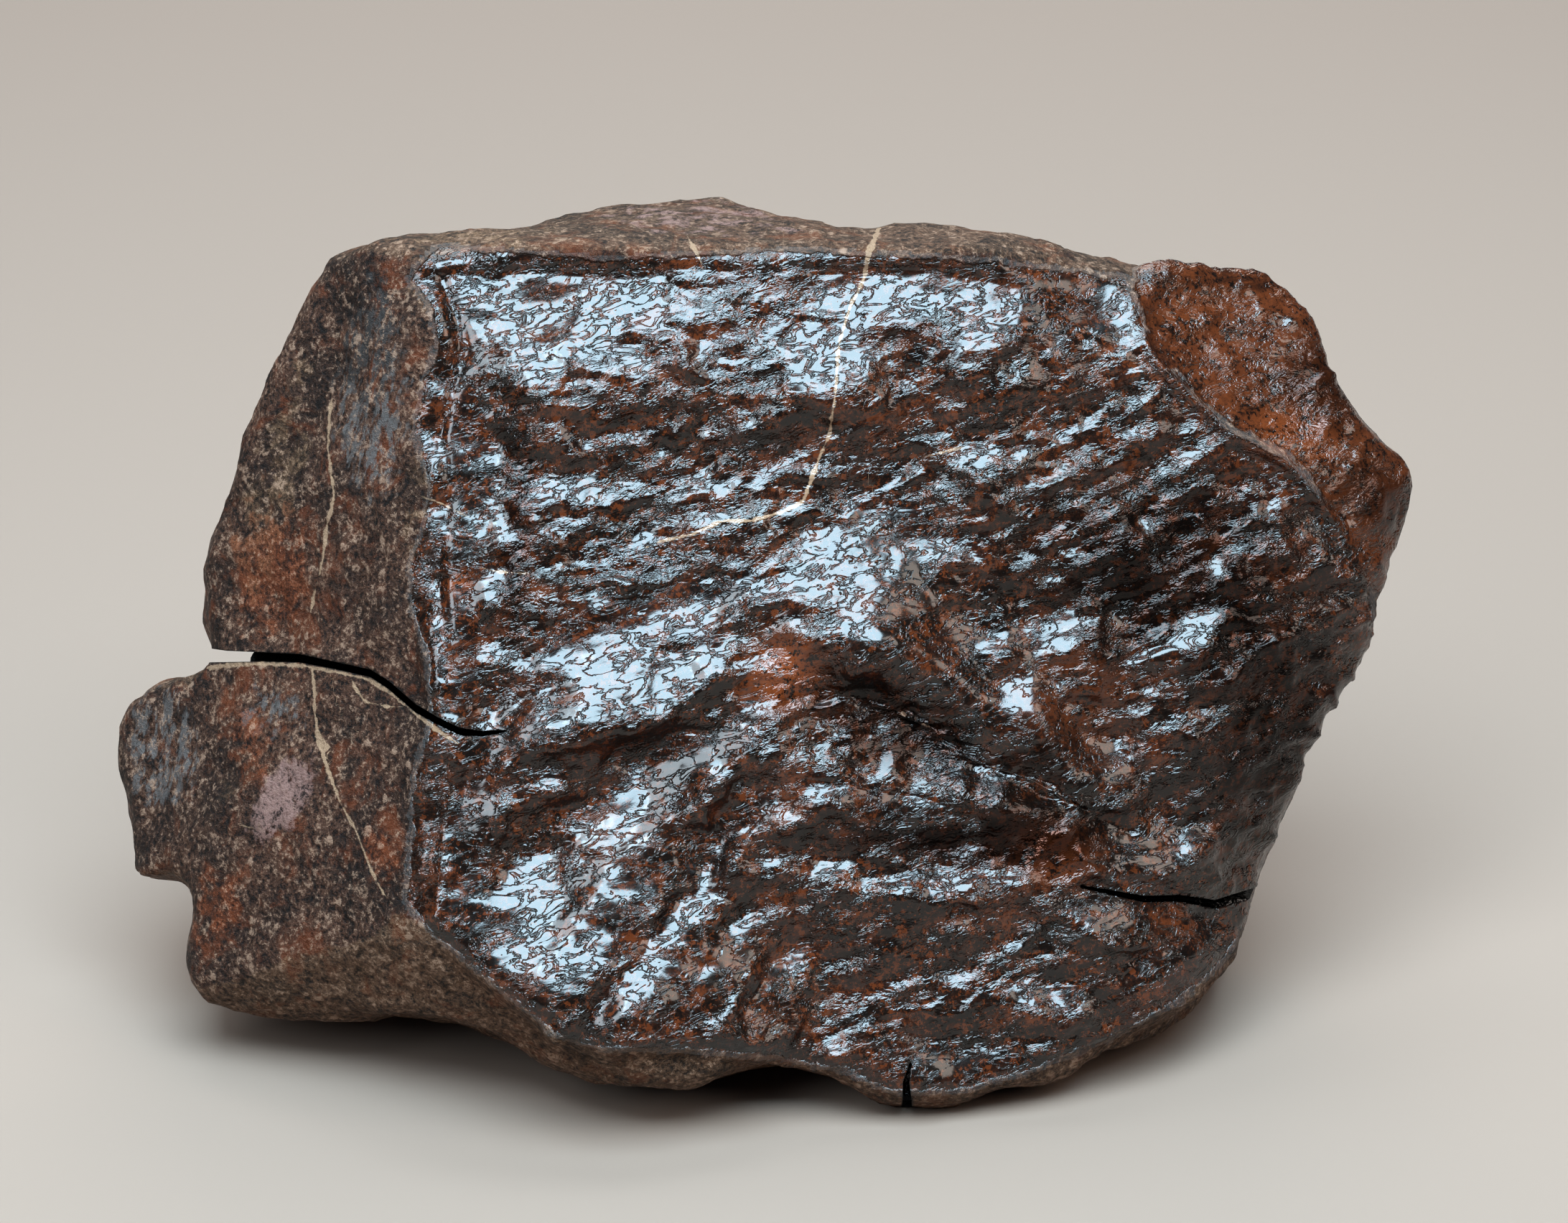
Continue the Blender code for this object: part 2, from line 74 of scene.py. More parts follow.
def linear(colour: Colour) -> tuple[float, float, float, float]:
    """Turns a colour as seen on a screen, from 0 to 255, into the shader's linear values.

    Args:
        colour: The screen's red, green and blue.

    Returns:
        Linear red, green and blue, with alpha 1.
    """
    shares = [value / 255 for value in colour]
    parts = [x / 12.92 if x <= 0.04045 else ((x + 0.055) / 1.055) ** 2.4 for x in shares]
    return (*parts, 1.0)


@dataclass(frozen=True)
class Drawn:
    """Points of the drawing: how far right, up and towards the eye each is, in millimetres."""

    right: Array
    up: Array
    toward: Array | None = None

    def turned(self, degrees: float) -> tuple[Array, Array]:
        """How far each point is along and across a direction that rises by so many degrees."""
        c, s = math.cos(math.radians(degrees)), math.sin(math.radians(degrees))
        return self.right * c + self.up * s, self.up * c - self.right * s

    def from_stretch(
        self, start: Sequence[float], end: Sequence[float]
    ) -> tuple[Array, Array, Array]:
        """Measures the points from a straight stretch of a line.

        Args:
            start: The place to the right and up where the stretch starts.
            end: The place where it ends.

        Returns:
            How much of the stretch lies before the place nearest to each point, the distance from
            that place, and a number that is below 0 on the stretch's right side.
        """
        du, dv = end[0] - start[0], end[1] - start[1]
        right, up = self.right - start[0], self.up - start[1]
        share = np.clip((right * du + up * dv) / (du * du + dv * dv), 0, 1)
        right, up = right - share * du, up - share * dv
        return share, np.hypot(right, up), du * up - dv * right


@dataclass(frozen=True)
class DrawingPlane:
    """The plane that the stone's front is drawn in, which leans back and is seen in perspective."""

    origin: tuple[float, float, float] = (2.464, 1.379, 44.1)
    lean: float = 25.0
    eye_distance: float = 577.0

    @property
    def axes(self) -> Array:
        """The drawing's right, its up and the way to the eye in the row frame, one column each."""
        c, s = math.cos(math.radians(self.lean)), math.sin(math.radians(self.lean))
        return np.array([[1.0, 0.0, 0.0], [0.0, s, -c], [0.0, c, s]])

    @property
    def toward(self) -> Array:
        """The way from the stone to the eye, in the row frame."""
        return self.axes[:, 2]

    def drawn(self, points: Array) -> Drawn:
        """Finds points of the row frame in the drawing.

        Args:
            points: One row of x, y and z in millimetres for each point.

        Returns:
            The points as the drawing has them.
        """
        right, up, toward = ((points - np.array(self.origin)) @ self.axes).T
        scale = 1 - toward / self.eye_distance
        return Drawn(right / scale, up / scale, toward)

    def placed(self, at: Drawn) -> Array:
        """Finds points of the drawing in the row frame.

        Args:
            at: The points as the drawing has them.

        Returns:
            One row of x, y and z in millimetres for each point.
        """
        scale = 1 - at.toward / self.eye_distance
        local = np.column_stack((at.right * scale, at.up * scale, at.toward))
        return local @ self.axes.T + np.array(self.origin)


@dataclass(frozen=True)
class Line:
    """A line of the drawing: places to the right and up, each with half the line's width there."""

    places: tuple[tuple[float, float, float], ...]

    def offset(self, at: Drawn) -> tuple[Array, Array]:
        """Measures points of the drawing from the line.

        Args:
            at: The points.

        Returns:
            The distance from the line, above 0 on its left side, and half the line's width there.
        """
        nearest = np.full(at.right.shape, np.inf)
        signed, width = np.zeros(at.right.shape), np.zeros(at.right.shape)
        for start, end in pairwise(self.places):
            share, away, side = at.from_stretch(start, end)
            closer = away < nearest
            nearest = np.where(closer, away, nearest)
            signed = np.where(closer, np.where(side < 0, -away, away), signed)
            width = np.where(closer, start[2] + share * (end[2] - start[2]), width)
        return signed, width


def nearest_of(lines: Sequence[Line], at: Drawn) -> tuple[Array, Array]:
    """Measures points of the drawing from whichever of the lines is nearest to each.

    Args:
        lines: The lines to measure from.
        at: The points.

    Returns:
        The distance from the nearest line, above 0 on its left, and half its width there.
    """
    offset, width = lines[0].offset(at)
    for line in lines[1:]:
        other, other_width = line.offset(at)
        closer = np.abs(other) < np.abs(offset)
        offset = np.where(closer, other, offset)
        width = np.where(closer, other_width, width)
    return offset, width


@dataclass(frozen=True)
class Crack(Line):
    """An open crack, which runs from the front as far in as end, counted towards the eye.

    Half its gap lies above and below the line, or to its left and right where it is upright.
    """

    front: float = 45.0
    end: float = -16.0
    upright: bool = False

    def outline(self) -> Array:
        """The corners of the gap in the drawing, along one lip and back along the other."""
        places = np.array(self.places)
        across = np.outer(places[:, 2], (1, 0) if self.upright else (0, 1))
        return np.vstack((places[:, :2] + across, (places[:, :2] - across)[::-1]))

    def middle(self, at: Drawn) -> Drawn:
        """Moves places straight across the crack to the middle of its gap."""
        places = self._sorted()
        if self.upright:
            return replace(at, right=np.interp(at.up, places[:, 1], places[:, 0]))
        return replace(at, up=np.interp(at.right, places[:, 0], places[:, 1]))

    def holds(self, at: Drawn, slack: float) -> Array:
        """Tells which places lie in the gap or on its walls.

        Args:
            at: The places.
            slack: How far outside the gap a place may lie.

        Returns:
            True for each place in the gap.
        """
        places = self._sorted()
        run = at.up if self.upright else at.right
        along = places[:, 1 if self.upright else 0]
        gap = np.interp(run, along, places[:, 2]) + slack
        middle = self.middle(at)
        within = np.abs(at.right - middle.right) + np.abs(at.up - middle.up) < gap
        within &= (run > along[0] - slack) & (run < along[-1] + slack)
        return within & (at.toward > self.end - slack)

    def _sorted(self) -> Array:
        """The places in rising order of the way that the crack runs."""
        return np.array(sorted(self.places, key=lambda place: place[1 if self.upright else 0]))


@dataclass(frozen=True)
class Region:
    """A region of the drawing, bounded by the places of its corners."""

    corners: tuple[tuple[float, float], ...]

    def inside(self, at: Drawn, fade: float) -> Array:
        """Tells which points lie in the region.

        Args:
            at: The points.
            fade: The width over which the region fades at its edge.

        Returns:
            1 well inside, 0 well outside and 0.5 on the edge.
        """
        away = np.full(at.right.shape, np.inf)
        within = np.zeros(at.right.shape, bool)
        for start, end in pairwise((*self.corners, self.corners[0])):
            away = np.minimum(away, at.from_stretch(start, end)[1])
            rise = end[1] - start[1]
            slope = (end[0] - start[0]) / rise if rise else 0.0
            crosses = (start[1] > at.up) != (end[1] > at.up)
            within ^= crosses & (at.right < start[0] + (at.up - start[1]) * slope)
        return np.clip(0.5 + np.where(within, away, -away) / fade, 0, 1)


@dataclass(frozen=True)
class Blot:
    """A soft blot on the front: an ellipse that is turned by so many degrees."""

    right: float
    up: float
    half_length: float
    half_width: float
    turn: float = 0.0
    strength: float = 1.0

    def cover(self, at: Drawn) -> Array:
        """How much of the blot lies on each point."""
        along, across = Drawn(at.right - self.right, at.up - self.up).turned(self.turn)
        away = (along / self.half_length) ** 2 + (across / self.half_width) ** 2
        return self.strength * np.exp(-(away**1.5))


class Stain(Enum):
    """What a blot of colour on the stone's skin is of, partly painted shade and sheen."""

    RUST = "rust"
    DARK = "dark_and_shade"
    GREY = "grey_and_sheen"
    TAN = "tan"
    PINK = "pink"


VARNISHED_FACE = Region((
    (-38.5, 40.5), (-20, 39), (0, 40), (20, 39), (38, 37), (40, 31), (45, 24.5), (50, 19.5),
    (56, 16.8), (59, 13), (62, 10), (65, 3), (66, -4), (61, -12), (56, -24), (53, -32),
    (49, -38.5), (44, -43), (36, -47.5), (27, -51), (20, -53), (13, -53.5), (7, -51), (0, -49.5),
    (-12, -48.5), (-20, -48.5), (-25, -47), (-30, -43), (-35, -39), (-40, -34.6), (-42, -32),
    (-41.5, -27), (-41, -18), (-39, -12), (-39.5, -5), (-41, 0), (-41.5, 5), (-40, 9), (-39, 14),
    (-41, 20), (-40, 25), (-38.3, 30), (-39, 34), (-41.5, 37),
))
RUSTY_FACET = Region((
    (39, 36), (41, 30), (45, 25.5), (50, 20.5), (56, 18), (60, 13), (63, 8), (66, 2), (73, 0),
    (73, 40), (40, 40),
))
UNDERSIDES = (
    Region((
        (-68, -42.5), (-60, -41), (-55.3, -38.7), (-49.7, -37.6), (-46, -36.1), (-43, -33.6),
        (-40.6, -35), (-35, -39.6), (-30, -43.6), (-25, -47.6), (-20, -49.2), (-10, -49.4),
        (0, -50), (-8, -60), (-40, -60), (-70, -50),
    )),
    Region(((27, -51.5), (36, -48.4), (44, -44), (49, -39.4), (56, -42), (40, -60))),
)

RIDGE = Line((
    (-41, -32, 1), (-39.5, -30, 1), (-39, -20, 1), (-37, -12, 1),
    (-37, -5, 1), (-38.5, 0, 1), (-39, 5, 1), (-37, 14, 1),
    (-39, 20, 1), (-36, 29, 1), (-36.5, 33, 1), (-39.5, 40, 1),
))

VEINS = (
    Line((
        (11, 44.5, 0.45), (10.5, 42.5, 0.5), (9.4, 40, 0.5), (8.9, 37, 0.32),
        (7.4, 34, 0.26), (6.1, 29.8, 0.28), (5.7, 24.2, 0.24), (5.1, 19.9, 0.26),
        (4.1, 17.5, 0.28), (3.1, 14.9, 0.3), (2.1, 12.2, 0.3), (-0.2, 11.1, 0.28),
        (-3.6, 10.1, 0.3), (-6.9, 10.1, 0.28), (-10.2, 8.6, 0.24), (-13.5, 7.9, 0.2),
        (-16.4, 6.7, 0.05),
    )),
    Line(((-10.9, 42, 0.05), (-10.1, 40.6, 0.35), (-9.1, 38.6, 0.08))),
    Line((
        (-50.3, 24, 0.06), (-50.6, 22, 0.24), (-50.8, 18, 0.2), (-50.1, 13, 0.22),
        (-51, 9, 0.3), (-51.3, 6, 0.14), (-52.5, 1, 0.16), (-52.9, -1.2, 0.05),
    )),
    Line(((-41.5, 13.2, 0.05), (-38, 12, 0.14), (-34.6, 10.2, 0.05))),
    Line((
        (-52.6, -5.8, 0.12), (-52.3, -8.5, 0.22), (-52.2, -11.5, 0.18), (-51.8, -14.5, 0.34),
        (-50.6, -18, 0.24), (-49.4, -21.3, 0.26), (-47.6, -24.5, 0.24), (-46, -28.8, 0.2),
        (-44.6, -31.4, 0.16), (-43.2, -33, 0.05),
    )),
    Line(((-52, -13.6, 0.2), (-50.8, -14.9, 0.14), (-50.2, -16.2, 0.04))),
    Line((
        (-48.6, -6.2, 0.08), (-47.9, -8.3, 0.24), (-46.7, -10, 0.2), (-44.2, -10.6, 0.18),
        (-41.4, -10.6, 0.1),
    )),
    Line(((-62.4, -24.2, 0.04), (-60.6, -23.8, 0.14), (-58.6, -24.2, 0.05))),
    Line(((-34.3, 5, 0.05), (-31.7, 4.4, 0.16), (-28, 4.2, 0.05))),
    Line(((15.2, 17.1, 0.04), (18, 17.8, 0.15), (21, 18.6, 0.05))),
)
LIPS = (
    Line((
        (-64, -6.2, 0.3), (-61, -5.9, 0.34), (-57.5, -5.8, 0.34), (-53.8, -6, 0.3),
        (-50, -6.7, 0.3), (-46.5, -7.5, 0.34), (-43.6, -9, 0.4), (-41, -11.3, 0.46),
        (-39, -12.9, 0.4), (-37.6, -13.9, 0.3), (-36.4, -14.6, 0.12), (-35.6, -15, 0.04),
    )),
)
CRACKS = (
    Crack((
        (-72, -4.4, 1.4), (-62, -5, 0.62), (-58, -5.05, 0.5), (-54, -5.2, 0.46),
        (-50, -6, 0.4), (-46, -6.9, 0.42), (-44, -8.2, 0.46), (-41, -10.8, 0.46),
        (-38.5, -12.2, 0.42), (-36, -13.4, 0.4), (-33.5, -13.6, 0.3), (-31, -13.3, 0.12),
    )),
    Crack((
        (60, -29, 1), (52, -31.4, 0.55), (48, -32.6, 0.48), (44, -31.9, 0.36),
        (40, -32, 0.36), (36.5, -31.3, 0.28), (33, -30.6, 0.12),
    ), end=-4),
    Crack((
        (13.6, -57, 0.75), (13.7, -54.4, 0.5), (13.6, -52.4, 0.36), (14.1, -50.2, 0.12),
    ), end=12, upright=True),
)

SHEEN = (
    Blot(-24, 34, 12, 7.5, 8), Blot(-37, 36, 3, 6), Blot(24, 35.5, 17, 5, -6), Blot(5, 29, 5, 4),
    Blot(-35, 14, 3.6, 12, 6), Blot(-36.5, -2, 2.6, 12), Blot(9, 4, 8, 8, -30),
    Blot(-20, -9, 13, 3.4, 15), Blot(-15, -0.5, 13, 3.2, 16), Blot(-22, 14, 6, 2, 10, 0.7),
    Blot(22, 18, 4, 1.5, 0, 0.8), Blot(29, -1.8, 6, 1.3, 8), Blot(42, -5, 5, 1.7, 28),
    Blot(18, -6, 5, 4, 30), Blot(26, -11, 6, 5, 40), Blot(35, -17, 5, 3, -30),
    Blot(12, -21.5, 8, 2, -8), Blot(41, -27, 6, 3.5, 12), Blot(39, -34, 7, 2.6, -4),
    Blot(18, -30.4, 9, 1.2, 3, 0.8), Blot(-35, -26, 9, 2.8, 80), Blot(-30.5, -35, 10, 3.4, 58),
    Blot(-24.5, -36, 12, 3.3, 56), Blot(-18.5, -33, 13, 3.1, 55), Blot(-13, -37, 11, 2.9, 54),
    Blot(-8, -41, 9, 2.4, 54), Blot(-2.5, -44, 6, 1.9, 56), Blot(-17, -21.5, 8, 2.8, 30),
    Blot(-10, -16.5, 8, 2.2, 26, 0.9), Blot(-5, -23, 6, 2, 36, 0.8),
    Blot(-30, -14, 6, 2, 12, 0.8), Blot(20, -50.5, 6, 2.6), Blot(30, -43, 5, 2.6, 20, 0.8),
    Blot(43, -39, 6, 2.6, 30, 0.8), Blot(53.6, 29, 2.6, 3, 30), Blot(50.6, 33, 1.6, 2.2),
    Blot(46.4, 24.5, 5, 2.6, -48), Blot(57, 16.4, 4, 2.2, -30), Blot(62, 8, 2, 3.4, 20),
)
STAINS_SHADE_AND_SHEEN = {
    Stain.RUST: (
        Blot(0, -7, 4.5, 4.5, 40), Blot(30, -27, 5, 3.5, -20, 0.8), Blot(-36, 3, 1.6, 1.6),
        Blot(45, 33, 5, 4, 0, 0.5), Blot(57, 20, 7, 4, -20, 0.7), Blot(-57, 4, 6, 9, 0, 0.6),
        Blot(-60, -14, 4, 7, 20, 0.5), Blot(-63, -33, 5, 6, 0, 0.5), Blot(-45, -27, 3, 4, 0, 0.6),
        Blot(33, -9, 6, 6, 0, 0.4),
    ),
    # Dark blots: partly dark stains, partly painted shade in the hollow under the central boss and
    # over the dimmer right of the front.
    Stain.DARK: (
        Blot(60, 25, 6, 5, -40, 0.7), Blot(66, 13, 5, 4, -30, 0.6), Blot(14, -13, 13, 4.6, -14),
        Blot(20, -25.5, 14, 3, -3), Blot(-47, 30, 5, 9, 0, 0.7), Blot(-50, -30, 9, 7, 0, 0.6),
        Blot(-47, -12, 6, 4, 0, 0.5), Blot(14, 33, 3, 3, 0, 0.7), Blot(43, 4, 16, 12, 0, 0.9),
        Blot(55, -17, 9, 15, 0, 0.9), Blot(30, -20, 9, 9, 0, 0.6), Blot(-30, 8, 2.5, 14, 0, 0.7),
    ),
    # Grey blots: partly grey streaks, partly painted sheen where the left faces catch the light.
    Stain.GREY: (
        Blot(-46, 24, 4.5, 13, 0, 0.8), Blot(-69, -15, 4.5, 8, 0, 0.8),
        Blot(-57, -11, 5, 4, 0, 0.5),
    ),
    Stain.TAN: (
        Blot(-57, 14, 4, 17, -14, 0.5), Blot(-41, 10, 3, 14, 0, 0.4),
        Blot(-36, 43, 14, 3, 0, 0.6),
    ),
    Stain.PINK: (
        Blot(-55.6, -20.6, 5.6, 2.7, 57), Blot(-8, 44, 16, 3, 0, 0.5),
    ),
}


class Select:
    """Selecting and shaping meshes with Blender's own operators, one piece at a time."""

    @staticmethod
    def only(piece: Piece) -> None:
        """Makes the piece the only selected and the active object."""
        bpy.ops.object.select_all(action="DESELECT")
        piece.select_set(True)
        bpy.context.view_layer.objects.active = piece

    @staticmethod
    @contextmanager
    def editing(piece: Piece, chosen: Array | None = None) -> Iterator[None]:
        """Holds the piece in edit mode, and puts it back in object mode afterwards.

        Args:
            piece: The mesh to work on.
            chosen: True for each face to select. Without it the whole piece is selected.
        """
        Select.only(piece)
        bpy.ops.object.mode_set(mode="EDIT")
        if chosen is None:
            bpy.ops.mesh.select_all(action="SELECT")
        else:
            bpy.ops.mesh.select_mode(type="FACE")
            bpy.ops.mesh.select_all(action="DESELECT")
            bpy.ops.object.mode_set(mode="OBJECT")
            piece.data.polygons.foreach_set("select", chosen.astype(bool))
            bpy.ops.object.mode_set(mode="EDIT")
        yield
        bpy.ops.object.mode_set(mode="OBJECT")

    @staticmethod
    def modify(piece: Piece, kind: str, **settings: object) -> None:
        """Adds a modifier with these settings and applies it.

        Args:
            piece: The mesh to work on.
            kind: Blender's name for the modifier's type.
            settings: The modifier's own values.
        """
        Select.only(piece)
        bpy.ops.object.modifier_add(type=kind)
        modifier = piece.modifiers[-1]
        for name, value in settings.items():
            setattr(modifier, name, value)
        bpy.ops.object.modifier_apply(modifier=modifier.name)


def rows_of(elements: bpy.types.bpy_prop_collection, name: str) -> Array:
    """A place or a direction of each of a mesh's points or faces, one row each."""
    flat = np.empty(len(elements) * 3)
    elements.foreach_get(name, flat)
    return flat.reshape(-1, 3)


def corners_of(piece: Piece) -> Array:
    """The mesh's points in millimetres, one row each."""
    return rows_of(piece.data.vertices, "co") / MM


def set_corners(piece: Piece, points: Array) -> None:
    """Puts the mesh's points at these places, in millimetres."""
    piece.data.vertices.foreach_set("co", (points * MM).ravel())
    piece.data.update()


def grain(places: Array, seed: float) -> Array:
    """Smooth noise at each place, from about -1 to 1, which repeats for the same seed."""
    return np.array([noise.noise(Vector(place)) for place in places + seed])


def flat_grain(along: Array, across: Array, seed: float) -> Array:
    """Smooth noise over the drawing, whose cells are one unit long and one unit wide."""
    return grain(np.column_stack((along, across, np.zeros(len(along)))), seed)


@dataclass(frozen=True)
class Wrinkle:
    """Flow ripples of the varnished face: their slope, length, width, height and seed."""

    slope: float
    length: float
    width: float
    height: float
    seed: float
    crest: float = 0.4
    hollow: float = 1.7

    def lift(self, at: Drawn) -> Array:
        """The rise at each point: sharp crests that face down, and round hollows between them."""
        along, across = at.turned(self.slope)
        rough = flat_grain(along / self.length, across / self.width, self.seed)
        return self.height * (self.crest - self.hollow * np.abs(rough))


@dataclass(frozen=True)
class Bend:
    """A slow drift of places to and fro, which keeps ripples from running in straight rows."""

    size: float
    reach: float
    seed: float
    upward_seed: float

    def moved(self, at: Drawn) -> Drawn:
        """The drifted places."""
        cell = at.right / self.size, at.up / self.size
        right, up = (self.reach * flat_grain(*cell, seed) for seed in (self.seed, self.upward_seed))
        return Drawn(at.right + right, at.up + up)


@dataclass(frozen=True)
class Chips:
    """Shallow scoops with crisp rims between them: their slope, length, width, depth and seed."""

    slope: float
    length: float
    width: float
    depth: float
    seed: int
    repeat: int = 64
    gentlest: float = 0.6
    variety: float = 0.8
    rim: float = 0.8

    def lift(self, at: Drawn) -> Array:
        """The rise at each point: 0 at a scoop's bottom, and the depth about at its rim."""
        along, across = at.turned(self.slope)
        along, across = along / self.length, across / self.width
        column, row = np.floor(along).astype(int), np.floor(across).astype(int)
        centres = np.random.default_rng(self.seed).random((self.repeat, self.repeat, 3))
        nearest = np.full(along.shape, np.inf)
        height = np.zeros(along.shape)
        for i, j in product((-1, 0, 1), repeat=2):
            jitter = centres[(column + i) % self.repeat, (row + j) % self.repeat]
            away = (column + i + jitter[:, 0] - along) ** 2
            away += (row + j + jitter[:, 1] - across) ** 2
            closer = away < nearest
            nearest = np.where(closer, away, nearest)
            steepness = self.gentlest + self.variety * jitter[:, 2]
            height = np.where(closer, away * steepness, height)
        return self.depth * 2 * np.minimum(height, self.rim)


@dataclass
class LitRelief:
    """Low swells that turn the varnished face up under the sheen, and not up elsewhere.

    The swells are solved on a grid over the drawing: with them the face leans by the wanted
    amount, and whatever is longer than the reach is left alone, so that the face keeps the
    solid's shape.
    """

    half_width: float = 84.0
    half_height: float = 62.0
    cell: float = 0.7
    lit_lean: float = 0.4
    dark_lean: float = 0.0
    most_change: float = 0.7
    most_asked: float = 2.4
    most_rise: float = 2.6
    rounds: int = 7
    reach: float = 45.0
    side_stiffness: float = 0.6
    blur: float = 1.3
    least_facing: float = 0.35
    least_count: float = 0.05
    squash: float = 1.6
    ragged_size: float = 3.8
    ragged_share: float = 0.6
    finer: float = 2.3
    fine_share: float = 0.5
    lit_start: float = 0.14
    lit_fade: float = 0.3
    seed: float = 23.5
    fine_seed: float = 28.5
    swells: Array = field(init=False, default=None)

    def solve(self, at: Drawn, out: Array) -> None:
        """Works the swells out once, for lift to read.

        Args:
            at: The points of the face.
            out: The outward direction there: to the right, up and towards the eye.
        """
        across = np.arange(-self.half_width, self.half_width, self.cell)
        along = np.arange(-self.half_height, self.half_height, self.cell)
        lit = self.lit(Drawn(*(side.ravel() for side in np.meshgrid(across, along))))
        lit = lit.reshape(len(along), len(across))
        wave_up = 2 * np.pi * np.fft.fftfreq(len(along), self.cell)[:, None]
        wave_right = 2 * np.pi * np.fft.fftfreq(len(across), self.cell)[None, :]
        soften = np.exp(-(wave_up**2 + wave_right**2) * self.blur**2 / 2)
        facing = out[:, 2] > self.least_facing
        where = tuple(
            ((place[facing] + half) / self.cell).round().astype(int)
            for place, half in ((at.up, self.half_height), (at.right, self.half_width))
        )
        leans = []
        for part in (out[facing, 1] / out[facing, 2], out[facing, 0] / out[facing, 2]):
            total, count = np.zeros(lit.shape), np.zeros(lit.shape)
            np.add.at(total, where, part)
            np.add.at(count, where, 1.0)
            total, count = (np.fft.ifft2(np.fft.fft2(x) * soften).real for x in (total, count))
            leans.append(total / np.maximum(count, self.least_count))
        turn_up = lit * (self.lit_lean - leans[0])
        turn_up += (1 - lit) * np.minimum(self.dark_lean - leans[0], 0)
        turn_up = np.clip(turn_up, -self.most_change, self.most_change)
        push_right = self.side_stiffness * wave_right * np.fft.fft2(-lit * leans[1])
        stiff = (2 * np.pi / self.reach) ** 2
        share = wave_up**2 + self.side_stiffness * wave_right**2 + stiff
        asked = turn_up
        for _ in range(self.rounds):
            push = wave_up * np.fft.fft2(asked) + push_right
            self.swells = np.fft.ifft2(1j * push / share).real
            got = -np.gradient(self.swells, self.cell, axis=0)
            asked = np.clip(asked + lit * (turn_up - got), -self.most_asked, self.most_asked)
        self.swells = self.most_rise * np.tanh(self.swells / self.most_rise)
        LOG.info("swells from %.2f to %.2f mm", self.swells.min(), self.swells.max())

    def lit(self, at: Drawn) -> Array:
        """How much of the sheen lies on each place, with ragged edges."""
        along, across = at.right / self.ragged_size, at.up * self.squash / self.ragged_size
        fine = flat_grain(along * self.finer, across * self.finer, self.fine_seed)
        ragged = flat_grain(along, across, self.seed) + self.fine_share * fine
        cover = np.clip(sum(blot.cover(at) for blot in SHEEN), 0, 1)
        cover = cover + self.ragged_share * ragged
        share = np.clip((cover - self.lit_start) / self.lit_fade, 0, 1)
        return share * share * (3 - 2 * share)

    def lift(self, at: Drawn) -> Array:
        """The rise of the swells at each place, in millimetres."""
        rows, columns = self.swells.shape
        column = np.clip((at.right + self.half_width) / self.cell, 0, columns - 1.001)
        row = np.clip((at.up + self.half_height) / self.cell, 0, rows - 1.001)
        c, r = column.astype(int), row.astype(int)
        x, y = column - c, row - r
        low = self.swells[r, c] * (1 - x) + self.swells[r, c + 1] * x
        high = self.swells[r + 1, c] * (1 - x) + self.swells[r + 1, c + 1] * x
        return low * (1 - y) + high * y


@dataclass(frozen=True)
class Lump:
    """Even lumps of the broken faces: their size, height and seed."""

    size: float
    height: float
    seed: float

    def lift(self, points: Array) -> Array:
        """The rise at each point."""
        return self.height * grain(points / self.size, self.seed)


